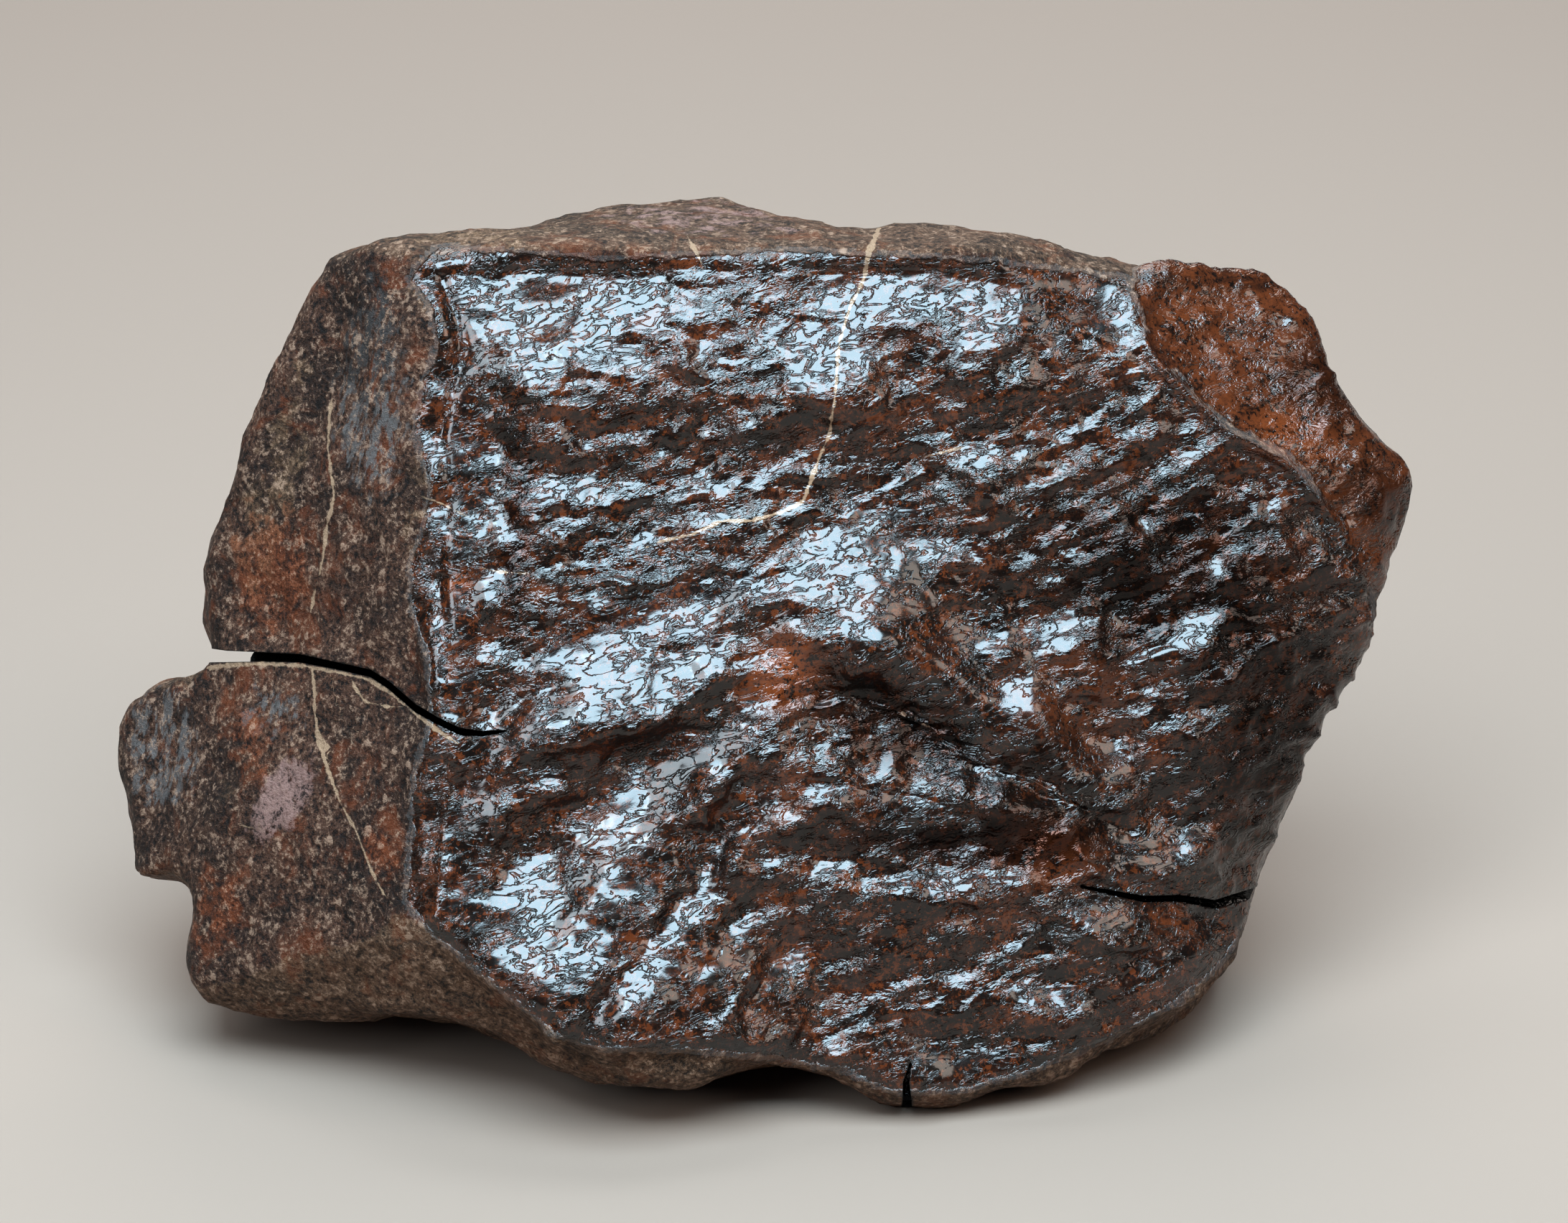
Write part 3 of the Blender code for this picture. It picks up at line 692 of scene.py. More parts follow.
@dataclass
class DressedStone:
    """The meteorite's visible skin, a finer copy of its solid that stands for it."""

    plane: DrawingPlane
    name: str = "meteorite_skin"
    voxel: float = 1.08
    merge_distance: float = 0.002
    wall_slack: float = 0.06
    mask_slack: float = 0.02
    fine_facing: float = 0.25
    smooth_steps: int = 6
    rest_height: float = 0.35
    fade_over_rest: float = 4.0
    relief: LitRelief = field(default_factory=LitRelief)
    bend: Bend = Bend(9.0, 2.2, 211.0, 228.0)
    chips: tuple[Chips, ...] = (Chips(20, 5.4, 2.9, 0.52, 5), Chips(27, 2.7, 1.5, 0.28, 6))
    wrinkles: tuple[Wrinkle, ...] = (Wrinkle(14, 2.3, 1.5, 0.2, 57.3),)
    chips_under_sheen: float = 0.15
    wrinkles_under_sheen: float = 0.3
    chips_on_ridge: float = 0.3
    chips_on_facet: float = 0.65
    varnish_on_facet: float = 0.85
    varnish_edge: float = 1.4
    underside_edge: float = 2.0
    bare_below: float = 0.2
    fade: float = 2.6
    ridge_width: float = 2.2
    bevel_width: float = 1.5
    bevel_depth: float = 0.45
    lumps: tuple[Lump, ...] = (Lump(6.5, 0.5, 11.9), Lump(2.6, 0.3, 71.3), Lump(1.3, 0.16, 93.1))
    lump_share_on_front: float = 0.25
    hidden_lumps: tuple[Lump, ...] = (Lump(8.0, 0.9, 151.7), Lump(4.2, 0.45, 173.1))
    stone: Piece = field(init=False, default=None)

    def build(self, solid: Piece) -> Piece:
        """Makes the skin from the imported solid.

        Args:
            solid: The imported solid, which isn't changed.

        Returns:
            The skin, with its masks on it and no material yet.
        """
        self.stone = bpy.data.objects.new(self.name, solid.data.copy())
        bpy.context.scene.collection.objects.link(self.stone)
        self._merge()
        for crack in CRACKS:
            self._close(crack)
        Select.modify(self.stone, "REMESH", mode="VOXEL", voxel_size=self.voxel * MM)
        Select.modify(self.stone, "SMOOTH", factor=0.5, iterations=self.smooth_steps)
        self._refine_front()
        self._carve()
        for crack in CRACKS:
            self._open(crack)
        self._mark()
        Select.only(self.stone)
        bpy.ops.object.shade_smooth()
        return self.stone

    def _merge(self) -> None:
        """Joins the loose triangles of the copied solid."""
        self.stone.data.materials.clear()
        with Select.editing(self.stone):
            bpy.ops.mesh.remove_doubles(threshold=self.merge_distance * MM)

    def _close(self, crack: Crack) -> None:
        """Takes a crack's walls out of the copy and brings its lips together.

        Args:
            crack: The crack to close.
        """
        centres = rows_of(self.stone.data.polygons, "center") / MM
        walls = crack.holds(self.plane.drawn(centres), self.wall_slack)
        with Select.editing(self.stone, walls):
            bpy.ops.mesh.delete(type="FACE")
        points = corners_of(self.stone)
        at = self.plane.drawn(points)
        lips = crack.holds(at, self.wall_slack)
        points[lips] = self.plane.placed(crack.middle(at))[lips]
        set_corners(self.stone, points)

    def _refine_front(self) -> None:
        """Divides the faces that face the viewer of the drawing, where the finest relief is."""
        facing = rows_of(self.stone.data.polygons, "normal") @ self.plane.toward
        with Select.editing(self.stone, facing > self.fine_facing):
            bpy.ops.mesh.subdivide(number_cuts=1)

    def _facing(self, out: Array) -> Array:
        """1 where these outward directions face the viewer of the drawing, 0 where away."""
        return np.clip(out @ self.plane.toward * 3, 0, 1)

    def _carve(self) -> None:
        """Adds the ripples of the varnished face and the lumps of the broken ones."""
        points, out = corners_of(self.stone), rows_of(self.stone.data.vertices, "normal")
        at, facing = self.plane.drawn(points), self._facing(out)
        front = VARNISHED_FACE.inside(at, self.fade) * facing
        facet = RUSTY_FACET.inside(at, self.fade) * facing
        varnished = np.maximum(front, facet)
        self.relief.solve(at, out @ self.plane.axes)
        lift = sum(lump.lift(points) for lump in self.lumps)
        lift *= 1 - varnished * (1 - self.lump_share_on_front)
        lift += sum(lump.lift(points) for lump in self.hidden_lumps) * (1 - facing)
        lift += self._ripples(at) * np.maximum(front, self.chips_on_facet * facet)
        lift += self.relief.lift(at) * varnished
        lift *= np.clip((points[:, 2] - self.rest_height) / self.fade_over_rest, 0, 1)
        points = points + out * lift[:, None]
        points[points[:, 2] < self.rest_height, 2] = 0.0
        set_corners(self.stone, points)

    def _ripples(self, at: Drawn) -> Array:
        """Shapes the varnish's scoops and ripples, which are calmer under the sheen.

        Args:
            at: The points of the skin in the drawing.

        Returns:
            The rise at each point, in millimetres.
        """
        lit, bent = self.relief.lit(at), self.bend.moved(at)
        from_ridge, _ = RIDGE.offset(at)
        on_ridge = np.exp(-((from_ridge / self.ridge_width) ** 2))
        bevel = np.clip(1 - np.abs(from_ridge) / self.bevel_width, 0, 1)
        scoops = sum(chip.lift(bent) for chip in self.chips)
        scoops *= 1 - (1 - self.chips_under_sheen) * lit
        scoops *= 1 - (1 - self.chips_on_ridge) * on_ridge
        wrinkled = sum(wrinkle.lift(bent) for wrinkle in self.wrinkles)
        wrinkled *= 1 - (1 - self.wrinkles_under_sheen) * lit
        return scoops - self.bevel_depth * bevel + wrinkled

    def _open(self, crack: Crack) -> None:
        """Cuts one crack into the skin with a blade of the crack's own outline.

        Args:
            crack: The crack to cut.
        """
        right, up = crack.outline().T
        count = len(right)
        rim = self.plane.placed(Drawn(right, up, np.full(count, crack.front))) * MM
        mesh = bpy.data.meshes.new("blade")
        mesh.from_pydata(rim.tolist(), [(i, (i + 1) % count) for i in range(count)], [])
        blade = bpy.data.objects.new("blade", mesh)
        bpy.context.scene.collection.objects.link(blade)
        with Select.editing(blade):
            bpy.ops.mesh.edge_face_add()
            bpy.ops.mesh.extrude_region_move()
        at = self.plane.drawn(corners_of(blade))
        inner = np.array([vertex.select for vertex in mesh.vertices])
        at = replace(at, toward=np.where(inner, crack.end, at.toward))
        set_corners(blade, self.plane.placed(at))
        with Select.editing(blade):
            bpy.ops.mesh.quads_convert_to_tris()
            bpy.ops.mesh.normals_make_consistent(inside=False)
        Select.modify(self.stone, "BOOLEAN", operation="DIFFERENCE", object=blade, solver="EXACT")
        bpy.data.objects.remove(blade)

    def _mark(self) -> None:
        """Stores where each finish, vein, stain, painted shade and sheen lies, one number a point.
        """
        points, out = corners_of(self.stone), rows_of(self.stone.data.vertices, "normal")
        at, facing = self.plane.drawn(points), self._facing(out)
        facet = RUSTY_FACET.inside(at, self.varnish_edge) * facing
        varnished = VARNISHED_FACE.inside(at, self.varnish_edge) * facing
        varnished = np.minimum(varnished + self.varnish_on_facet * facet, 1)
        self._part_finishes(varnished)
        under = np.maximum(*(region.inside(at, self.underside_edge) for region in UNDERSIDES))
        masks = {
            "varnish": varnished,
            "lit": self.relief.lit(at) * varnished,
            "rusty_facet": facet,
            "underside": np.maximum(under * facing, np.clip(-out[:, 2] * 2, 0, 1)),
            "top": np.clip(out[:, 2] * 3 - 1.6, 0, 1),
            # The cracks' gaps and walls, which are painted black as painted shade.
            "crack": np.any([crack.holds(at, self.mask_slack) for crack in CRACKS], axis=0),
        }
        # Dark blots are partly painted shade and grey blots partly painted sheen; the rest are
        # stains.
        for kind, blots in STAINS_SHADE_AND_SHEEN.items():
            masks[kind.value] = np.clip(sum(blot.cover(at) for blot in blots), 0, 1) * facing
        for name, lines in (("vein", VEINS), ("lip", LIPS)):
            masks[name + "_offset"], width = nearest_of(lines, at)
            masks[name + "_width"] = width * facing
        for name, values in masks.items():
            attribute = self.stone.data.attributes.new(name, "FLOAT", "POINT")
            attribute.data.foreach_set("value", values.astype(np.float32))

    def _part_finishes(self, varnished: Array) -> None:
        """Gives each face that no varnish reaches the skin's second finish.

        Args:
            varnished: How varnished each point of the skin is.
        """
        mesh = self.stone.data
        corners = np.empty(len(mesh.loops), int)
        mesh.loops.foreach_get("vertex_index", corners)
        starts = np.empty(len(mesh.polygons), int)
        mesh.polygons.foreach_get("loop_start", starts)
        bare = np.maximum.reduceat(varnished[corners], starts) < self.bare_below
        mesh.polygons.foreach_set("material_index", bare.astype(int))


@dataclass(frozen=True)
class Noise:
    """The size of a noise's blots, in the place's own unit, its detail, roughness and bend."""

    size: float
    detail: float
    rough: float
    bend: float = 0.0


@dataclass(frozen=True)
class Step:
    """A smooth step: start where a value is at most low, and the share where it is past high."""

    low: float
    high: float
    share: float = 1.0
    start: float = 0.0


class Graph:
    """A shader's or a group's nodes, with a short call for each kind that the finishes use."""

    def __init__(self, tree: NodeTree) -> None:
        """Starts with the nodes that the tree has."""
        self.tree = tree

    def add(self, kind: str, **settings: object) -> bpy.types.Node:
        """Adds a node of that kind with these settings."""
        node = self.tree.nodes.new(kind)
        for name, value in settings.items():
            setattr(node, name, value)
        return node

    def feed(self, sockets: Sequence[Socket], *values: object) -> None:
        """Gives each socket a plain value, or links another socket to it."""
        for socket, value in zip(sockets, values):
            if isinstance(value, Socket):
                self.tree.links.new(value, socket)
            else:
                socket.default_value = value

    def maths(self, operation: str, *values: object, clamp: bool = False) -> Socket:
        """The result of one operation on one, two or three numbers."""
        node = self.add("ShaderNodeMath", operation=operation, use_clamp=clamp)
        self.feed(node.inputs, *values)
        return node.outputs[0]

    def times(self, first: object, *others: object) -> Socket:
        """The product of numbers."""
        for other in others:
            first = self.maths("MULTIPLY", first, other)
        return first

    def plus(self, value: object, share: object, base: object) -> Socket:
        """That share of the value, on top of the base."""
        return self.maths("MULTIPLY_ADD", value, share, base)

    def step(self, value: object, step: Step) -> Socket:
        """The step's number for a value."""
        node = self.add("ShaderNodeMapRange", interpolation_type="SMOOTHSTEP")
        self.feed(node.inputs, value, step.low, step.high, step.start, step.share)
        return node.outputs[0]

    def mix(self, share: object, first: object, second: object) -> Socket:
        """The first colour, with that share of the second over it."""
        node = self.add("ShaderNodeMix", data_type="RGBA", clamp_factor=True)
        self.feed((node.inputs["Factor"], *node.inputs[6:8]), share, first, second)
        return node.outputs[2]

    def blend(self, share: object, first: object, second: object) -> Socket:
        """The first number, with that share of the second in its place."""
        node = self.add("ShaderNodeMix", data_type="FLOAT")
        self.feed((node.inputs["Factor"], *node.inputs[2:4]), share, first, second)
        return node.outputs[0]

    def noise(self, place: object, look: Noise) -> Socket:
        """Noise from 0 to 1 that looks so."""
        node = self.add("ShaderNodeTexNoise")
        names = ("Vector", "Scale", "Detail", "Roughness", "Distortion")
        values = (place, 1 / look.size, look.detail, look.rough, look.bend)
        self.feed([node.inputs[name] for name in names], *values)
        return node.outputs["Fac"]

    def from_middle(self, place: object, look: Noise) -> Socket:
        """How far noise that looks so is from its middle, without its sign."""
        away = self.maths("SUBTRACT", self.noise(place, look), MIDDLE_OF_NOISE)
        return self.maths("ABSOLUTE", away)

    def cells(self, place: object, size: float) -> bpy.types.Node:
        """Voronoi cells of about that size."""
        node = self.add("ShaderNodeTexVoronoi")
        self.feed((node.inputs["Vector"], node.inputs["Scale"]), place, 1 / size)
        return node

    def stored(self, name: str) -> Socket:
        """The number stored on the mesh under that name."""
        return self.add("ShaderNodeAttribute", attribute_name=name).outputs["Fac"]

    def scaled(self, place: object, scale: Sequence[float]) -> Socket:
        """A place, times scale along each axis."""
        node = self.add("ShaderNodeMapping")
        self.feed((node.inputs["Vector"], node.inputs["Scale"]), place, scale)
        return node.outputs["Vector"]

    def group(self, tree: NodeTree, place: object) -> bpy.types.Node:
        """Puts a node group in, with the place on its input."""
        node = self.add("ShaderNodeGroup", node_tree=tree)
        self.feed(node.inputs, place)
        return node


def new_group(name: str, *outputs: str) -> tuple[Graph, Socket, dict[str, object]]:
    """Starts a node group that turns a place into numbers.

    Args:
        name: The group's name.
        outputs: The name of each number.

    Returns:
        The group's graph, the place inside it and the sockets that take the numbers.
    """
    tree = bpy.data.node_groups.new(name, "ShaderNodeTree")
    tree.interface.new_socket("Place", in_out="INPUT", socket_type="NodeSocketVector")
    for output in outputs:
        tree.interface.new_socket(output, in_out="OUTPUT", socket_type="NodeSocketFloat")
    graph = Graph(tree)
    place = graph.add("NodeGroupInput").outputs["Place"]
    return graph, place, graph.add("NodeGroupOutput").inputs


@dataclass(frozen=True)
class Flecks:
    """The grains and chondrules that show in a broken face."""

    fine: Noise = Noise(0.62, 4, 0.8)
    clusters: Noise = Noise(2.4, 3, 0.6, 0.5)
    blotches: Noise = Noise(6.0, 6, 0.75, 0.6)
    streaks: Noise = Noise(0.9, 3, 0.7)
    streak_squeeze: tuple[float, float, float] = (1, 1, 0.2)
    chondrule: float = 1.5
    chondrule_edge: Step = Step(0.42, 0.2)
    shown_chondrules: Step = Step(0.72, 0.8)
    fine_share: float = 1.5
    cluster_share: float = 0.6
    chondrule_share: float = 0.18
    chondrule_height: float = 0.15
    tone: Step = Step(0.72, 1.42)
    rust: Step = Step(0.5, 0.66)

    def group(self) -> NodeTree:
        """Makes the node group of the grains' tone, the rust spots, the streaks and the height."""
        graph, place, ends = new_group("Flecks", "Tone", "Rust", "Streak", "Height")
        fine, cluster = graph.noise(place, self.fine), graph.noise(place, self.clusters)
        grains = graph.cells(place, self.chondrule)
        shade = graph.add("ShaderNodeSeparateColor")
        graph.feed(shade.inputs, grains.outputs["Color"])
        body = graph.step(grains.outputs["Distance"], self.chondrule_edge)
        shown = graph.step(shade.outputs[0], self.shown_chondrules)
        tone = graph.plus(cluster, self.cluster_share, graph.times(fine, self.fine_share))
        tone = graph.plus(graph.times(body, shown), self.chondrule_share, tone)
        rust = graph.step(graph.noise(place, self.blotches), self.rust)
        streak = graph.noise(graph.scaled(place, self.streak_squeeze), self.streaks)
        height = graph.plus(body, self.chondrule_height, fine)
        graph.feed(ends, graph.step(tone, self.tone), rust, streak, height)
        return graph.tree


@dataclass(frozen=True)
class Ripples:
    """The finest ripples and creases of the varnish, which run up to the right."""

    lean: float
    slope: float = 20.0
    stretch: float = 2.0
    waves: Noise = Noise(1.0, 3, 0.6, 0.5)
    fine: Noise = Noise(0.4, 2, 0.6)
    patches: Noise = Noise(2.4, 3, 0.6)
    folds: Noise = Noise(1.35, 3, 0.6, 0.6)
    streaks: Noise = Noise(3.2, 5, 0.65, 0.8)
    crest_height: float = -2.0
    fine_height: float = 0.25
    patchy: Step = Step(0.42, 0.58, start=0.22)
    groove: Step = Step(0.0, 0.05)

    def group(self) -> NodeTree:
        """Makes the node group of the ripples' height, the streaks along them and the creases."""
        graph, place, ends = new_group("Ripples", "Height", "Streak", "Crease")
        turned = graph.add("ShaderNodeVectorRotate", rotation_type="EULER_XYZ", invert=True)
        angles = (math.radians(-self.lean), math.radians(-self.slope), 0)
        graph.feed((turned.inputs["Vector"], turned.inputs["Rotation"]), place, angles)
        place = graph.scaled(turned.outputs[0], (1 / self.stretch, 1 / self.stretch, 1))
        crest = graph.times(graph.from_middle(place, self.waves), self.crest_height)
        height = graph.plus(graph.noise(place, self.fine), self.fine_height, crest)
        height = graph.times(height, graph.step(graph.noise(place, self.patches), self.patchy))
        groove = graph.step(graph.from_middle(place, self.folds), self.groove)
        graph.feed(ends, height, graph.noise(place, self.streaks), groove)
        return graph.tree


@dataclass(frozen=True)
class StoneFinish:
    """The colours, gloss and fine relief of the whole stone."""

    name: str
    ior: float
    chocolate: Colour = (17, 9, 6)
    oxblood: Colour = (38, 18, 11)
    rust: Colour = (112, 52, 23)
    # Black of flecks and streaks, and the painted shade in the cracks and over the dark blots.
    black: Colour = (8, 5, 4)
    broken_black: Colour = (15, 8, 6)
    broken: Colour = (64, 40, 29)
    broken_pale: Colour = (150, 118, 98)
    # Colour of the grey blots, which are partly painted sheen.
    grey_and_sheen: Colour = (80, 74, 72)
    tan: Colour = (110, 82, 60)
    pink: Colour = (122, 92, 85)
    vein: Colour = (146, 116, 92)
    raggedness: Noise = Noise(2.2, 4, 0.6)
    fray_reach: float = 1.4
    frayed_edge: Step = Step(0.35, 0.6)
    reddish: Step = Step(0.42, 0.66)
    rusty_streak: Step = Step(0.46, 0.6, 0.4)
    speckle: Step = Step(0.55, 0.8, 0.38)
    rust_patch: Step = Step(0.05, 0.55, 0.85)
    rust_on_facet: float = 0.34
    black_streak: Step = Step(0.46, 0.36, 0.6)
    black_fleck: Step = Step(0.34, 0.14, 0.8)
    # Share of black over the dark blots, which are partly painted shade.
    dark_and_shade_share: float = 0.6
    clouds: Noise = Noise(11.0, 4, 0.6, 0.4)
    cloud: Step = Step(0.56, 0.4, 0.6)
    brown_grain: Step = Step(0.12, 0.52)
    pale_grain: Step = Step(0.6, 0.95, 0.6)
    pink_grain: Step = Step(0.0, 0.5, 0.8)
    grey_streak: Step = Step(0.44, 0.57)
    broken_rust_share: float = 0.4
    wobble: Noise = Noise(1.2, 3, 0.6)
    wobble_reach: float = 0.9
    line_thinness: float = 0.72
    line_edge: Step = Step(-0.05, 0.1)
    line_end: Step = Step(0.03, 0.1)
    line_shares: tuple[tuple[str, float], ...] = (("vein", 0.85), ("lip", 0.75))
    varnish_roughness: float = 0.1
    streak_roughness: float = 0.08
    broken_roughness: float = 0.58
    pale_roughness: float = -0.16
    # How metallic the unlit dark blots are made, which darkens them further as partly painted shade.
    dark_and_shade_metallic: float = 0.75
    calm: float = -0.94
    ripple_depth: float = 0.36
    crease_depth: float = 0.11
    grain_depth: float = 0.6

    def material(self, fleck_group: NodeTree, ripple_group: NodeTree) -> bpy.types.Material:
        """Makes one of the stone's materials.

        Args:
            fleck_group: The node group of the grains.
            ripple_group: The node group of the varnish's finest ripples.

        Returns:
            The material, which reads the masks that are stored on the skin.
        """
        material = bpy.data.materials.new(self.name)
        material.use_nodes = True
        graph = Graph(material.node_tree)
        shader = material.node_tree.nodes["Principled BSDF"].inputs
        place = graph.add("ShaderNodeTexCoord").outputs["Object"]
        place = graph.scaled(place, (1 / MM, 1 / MM, 1 / MM))
        flecks = graph.group(fleck_group, place).outputs
        ripples = graph.group(ripple_group, place).outputs
        ragged = graph.maths("SUBTRACT", graph.noise(place, self.raggedness), MIDDLE_OF_NOISE)
        varnish = self._frayed(graph, "varnish", ragged)
        broken = self._broken(graph, place, flecks, ragged)
        colour = graph.mix(varnish, broken, self._glazed(graph, ripples, flecks))
        colour = self._lines(graph, colour, place)
        # Painted shade: the cracks' gaps and walls are painted black.
        colour = graph.mix(graph.stored("crack"), colour, linear(self.black))
        smooth = graph.plus(ripples["Streak"], self.streak_roughness, self.varnish_roughness)
        rough = graph.plus(flecks["Tone"], self.pale_roughness, self.broken_roughness)
        # Unlit dark blots turn partly metallic and darker: partly painted shade.
        unlit_dark_and_shade = graph.maths("SUBTRACT", graph.stored("dark_and_shade"), graph.stored("lit"), clamp=True)
        graph.feed(
            [shader[name] for name in ("Base Color", "Roughness", "Metallic", "Normal", "IOR")],
            colour,
            graph.blend(varnish, rough, smooth),
            graph.times(unlit_dark_and_shade, self.dark_and_shade_metallic, varnish),
            self._relief(graph, varnish, flecks, ripples),
            self.ior,
        )
        return material

    def _frayed(self, graph: Graph, mask: str, ragged: object) -> Socket:
        """A stored mask whose edge is broken up by noise."""
        worn = graph.plus(ragged, self.fray_reach, graph.stored(mask))
        return graph.step(worn, self.frayed_edge)

    def _glazed(self, graph: Graph, ripples: object, flecks: object) -> Socket:
        """The varnished face: chocolate, oxblood and rust, and black that is partly painted shade.
        """
        streak, tone = ripples["Streak"], flecks["Tone"]
        reddish = graph.step(streak, self.reddish)
        colour = graph.mix(reddish, linear(self.chocolate), linear(self.oxblood))
        rusty = graph.times(flecks["Rust"], graph.step(streak, self.rusty_streak))
        patch = graph.times(graph.stored("rusty_facet"), self.rust_on_facet)
        patch = graph.maths("MAXIMUM", graph.stored("rust"), patch)
        patch = graph.times(patch, graph.step(tone, self.rust_patch))
        rusty = graph.maths("MAXIMUM", rusty, graph.step(tone, self.speckle))
        rusty = graph.maths("MAXIMUM", rusty, patch)
        # Black over the dark blots: partly dark stains, partly painted shade.
        black = graph.times(graph.stored("dark_and_shade"), self.dark_and_shade_share)
        black = graph.maths("MAXIMUM", black, graph.step(streak, self.black_streak))
        black = graph.maths("MAXIMUM", black, graph.step(tone, self.black_fleck))
        return graph.mix(black, graph.mix(rusty, colour, linear(self.rust)), linear(self.black))

    def _broken(self, graph: Graph, place: object, flecks: object, ragged: object) -> Socket:
        """The broken faces' colour: grains, stained parts, and blots partly painted shade and sheen.
        """
        tone = flecks["Tone"]
        streaky = graph.step(flecks["Streak"], self.grey_streak)
        brown = graph.step(tone, self.brown_grain)
        colour = graph.mix(brown, linear(self.broken_black), linear(self.broken))
        cloud = graph.step(graph.noise(place, self.clouds), self.cloud)
        colour = graph.mix(cloud, colour, linear(self.broken_black))
        rust = graph.times(flecks["Rust"], self.broken_rust_share)
        colour = graph.mix(rust, colour, linear(self.rust))
        # Here the dark blots are partly painted shade and the grey blots partly painted sheen.
        stain_shade_and_sheen_layers = (
            ("underside", self.tan, 0.55, tone), ("top", self.tan, 0.35, tone),
            ("tan", self.tan, 0.8, tone), ("grey_and_sheen", self.grey_and_sheen, 0.9, streaky),
            ("rusty_facet", self.rust, 0.22, tone), ("rust", self.rust, 1.0, tone),
            ("dark_and_shade", self.black, 0.7, streaky),
        )
        for name, hue, share, pattern in stain_shade_and_sheen_layers:
            mask = graph.times(self._frayed(graph, name, ragged), share, pattern)
            colour = graph.mix(mask, colour, linear(hue))
        colour = graph.mix(graph.step(tone, self.pale_grain), colour, linear(self.broken_pale))
        pink = graph.times(self._frayed(graph, "pink", ragged), graph.step(tone, self.pink_grain))
        return graph.mix(pink, colour, linear(self.pink))

    def _lines(self, graph: Graph, colour: object, place: object) -> Socket:
        """Lays the pale veins and the pale lip of the crack over a colour."""
        wobble = graph.maths("SUBTRACT", graph.noise(place, self.wobble), MIDDLE_OF_NOISE)
        for name, share in self.line_shares:
            away = graph.maths("ABSOLUTE", graph.stored(name + "_offset"))
            width = graph.times(graph.stored(name + "_width"), self.line_thinness)
            reach = graph.plus(wobble, self.wobble_reach, width)
            mask = graph.step(graph.maths("SUBTRACT", reach, away), self.line_edge)
            mask = graph.times(mask, graph.step(width, self.line_end), share)
            colour = graph.mix(mask, colour, linear(self.vein))
        return colour

    def _relief(self, graph: Graph, varnish: object, flecks: object, ripples: object) -> Socket:
        """The direction of the surface with the relief that is too fine for the mesh."""
        lit = graph.stored("lit")
        depth = graph.times(graph.plus(lit, self.calm, 1.0), self.ripple_depth)
        creased = graph.times(ripples["Crease"], lit, self.crease_depth)
        rippled = graph.maths("ADD", graph.times(ripples["Height"], depth), creased)
        grained = graph.times(flecks["Height"], self.grain_depth)
        bump = graph.add("ShaderNodeBump")
        sockets = [bump.inputs[name] for name in ("Strength", "Distance", "Height")]
        graph.feed(sockets, 1.0, MM, graph.blend(varnish, grained, rippled))
        return bump.outputs["Normal"]


@dataclass(frozen=True)
class Softbox:
    """A soft rectangular light: where it stands, as seen from the stone, and how strong it is."""

    name: str
    azimuth: float
    elevation: float
    distance: float
    width: float
    height: float
    watts: float
    colour: Colour
    aim: tuple[float, float, float] = (0, 0, 0.04)

    def build(self) -> None:
        """Makes the light, which faces the stone."""
        data = bpy.data.lights.new(self.name, "AREA")
        data.shape = "RECTANGLE"
        data.size, data.size_y = self.width, self.height
        data.energy = self.watts
        data.color = self.colour
        light = bpy.data.objects.new(self.name, data)
        a, e = math.radians(self.azimuth), math.radians(self.elevation)
        away = Vector((math.sin(a) * math.cos(e), -math.cos(a) * math.cos(e), math.sin(e)))
        light.location = away * self.distance + Vector(self.aim)
        light.rotation_euler = (-away).to_track_quat("-Z", "Y").to_euler()
        bpy.context.scene.collection.objects.link(light)


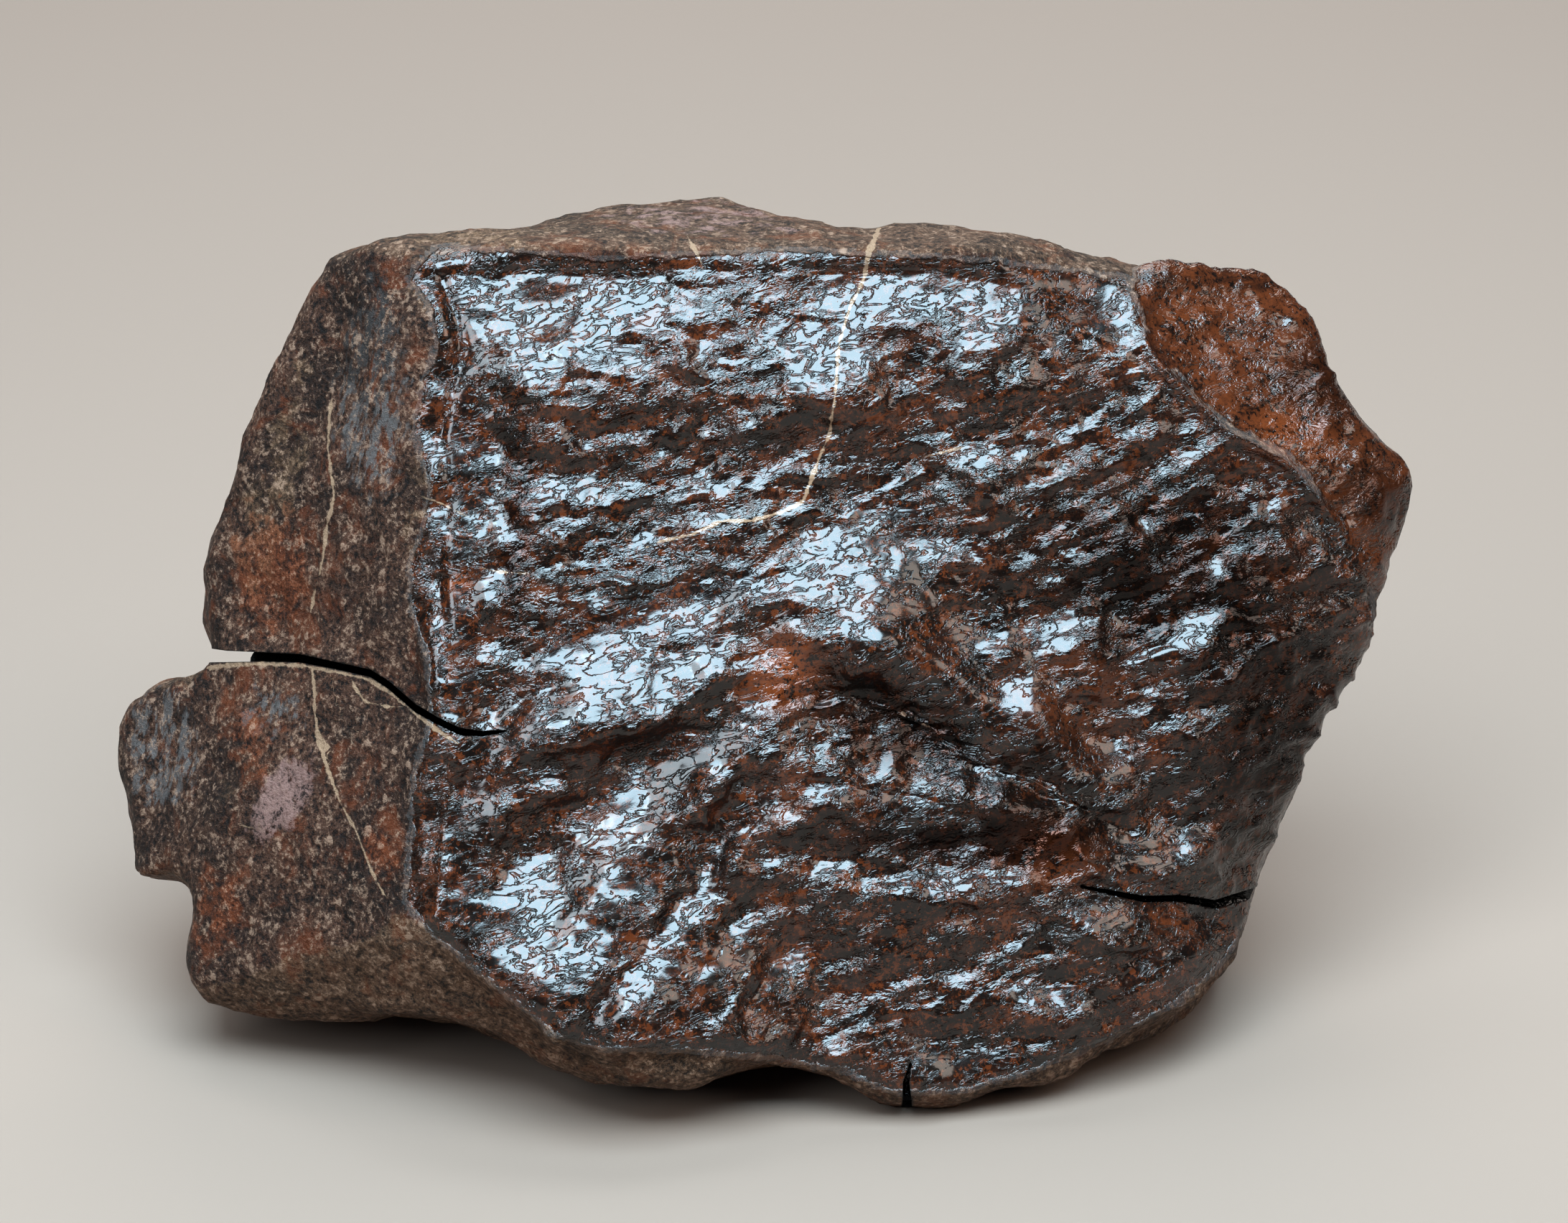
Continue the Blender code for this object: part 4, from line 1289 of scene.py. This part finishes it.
@dataclass(frozen=True)
class Studio:
    """The plain pale floor, the soft lights, the plain surroundings and the camera."""

    plane: DrawingPlane
    floor_size: float = 8.0
    floor_colour: Colour = (124, 106, 94)
    floor_roughness: float = 0.85
    surroundings: Colour = (150, 156, 164)
    surroundings_strength: float = 0.13
    lens: float = 118.98
    sensor: float = 36.0
    nearest: float = 0.01
    lights: tuple[Softbox, ...] = (
        Softbox("key", 6, 66, 0.75, 0.64, 0.5, 23.0, (0.6, 0.84, 1.0)),
        Softbox("left", -42, 40, 0.9, 0.3, 0.6, 6.0, (0.78, 0.91, 1.0)),
        Softbox("side", 62, 36, 0.9, 0.3, 0.5, 2.4, (1.0, 0.88, 0.78)),
        Softbox("sky", 180, 68, 0.8, 0.6, 0.3, 6.0, (0.7, 0.88, 1.0)),
        Softbox("rim", 180, 34, 0.9, 0.6, 0.4, 3.4, (1.0, 0.94, 0.88)),
    )

    def build(self) -> None:
        """Makes the floor, the lights, the surroundings and the camera."""
        self._floor()
        for light in self.lights:
            light.build()
        self._world()
        self._camera()

    def _floor(self) -> None:
        """A wide plain floor at the height of the rest spot."""
        bpy.ops.object.select_all(action="DESELECT")
        bpy.ops.mesh.primitive_plane_add(size=self.floor_size)
        floor = bpy.context.object
        floor.name = "floor"
        material = bpy.data.materials.new("pale_floor")
        material.use_nodes = True
        shader = material.node_tree.nodes["Principled BSDF"]
        shader.inputs["Base Color"].default_value = linear(self.floor_colour)
        shader.inputs["Roughness"].default_value = self.floor_roughness
        floor.data.materials.append(material)

    def _world(self) -> None:
        """Even, dim light from all round."""
        world = bpy.data.worlds.new("surroundings")
        world.use_nodes = True
        background = world.node_tree.nodes["Background"]
        background.inputs["Color"].default_value = linear(self.surroundings)
        background.inputs["Strength"].default_value = self.surroundings_strength
        bpy.context.scene.world = world
        bpy.context.scene.view_settings.view_transform = "Standard"

    def _camera(self) -> None:
        """The camera, which looks along the drawing plane's sight line."""
        data = bpy.data.cameras.new("camera")
        data.lens = self.lens
        data.sensor_width = self.sensor
        data.clip_start = self.nearest
        camera = bpy.data.objects.new("camera", data)
        sight = self.plane.toward * self.plane.eye_distance + np.array(self.plane.origin)
        camera.location = Vector(sight * MM)
        camera.rotation_euler = (math.radians(90 - self.plane.lean), 0, 0)
        bpy.context.scene.collection.objects.link(camera)
        bpy.context.scene.camera = camera


def main() -> None:
    """Loads the frame and builds the dressed stone and its studio round it."""
    logging.basicConfig(level=logging.INFO, format="%(name)s: %(message)s")
    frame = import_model()
    plane = DrawingPlane()
    skin = DressedStone(plane).build(frame["nodes"][SOLID])
    groups = Flecks().group(), Ripples(plane.lean).group()
    for finish in (StoneFinish("varnished_stone", ior=1.5), StoneFinish("bare_stone", ior=1.22)):
        skin.data.materials.append(finish.material(*groups))
    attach(skin, "root")
    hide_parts(SOLID)
    triangles = sum(len(face.vertices) - 2 for face in skin.data.polygons)
    LOG.info("%s: %d triangles", skin.name, triangles)
    Studio(plane).build()


if __name__ == "__main__":
    main()
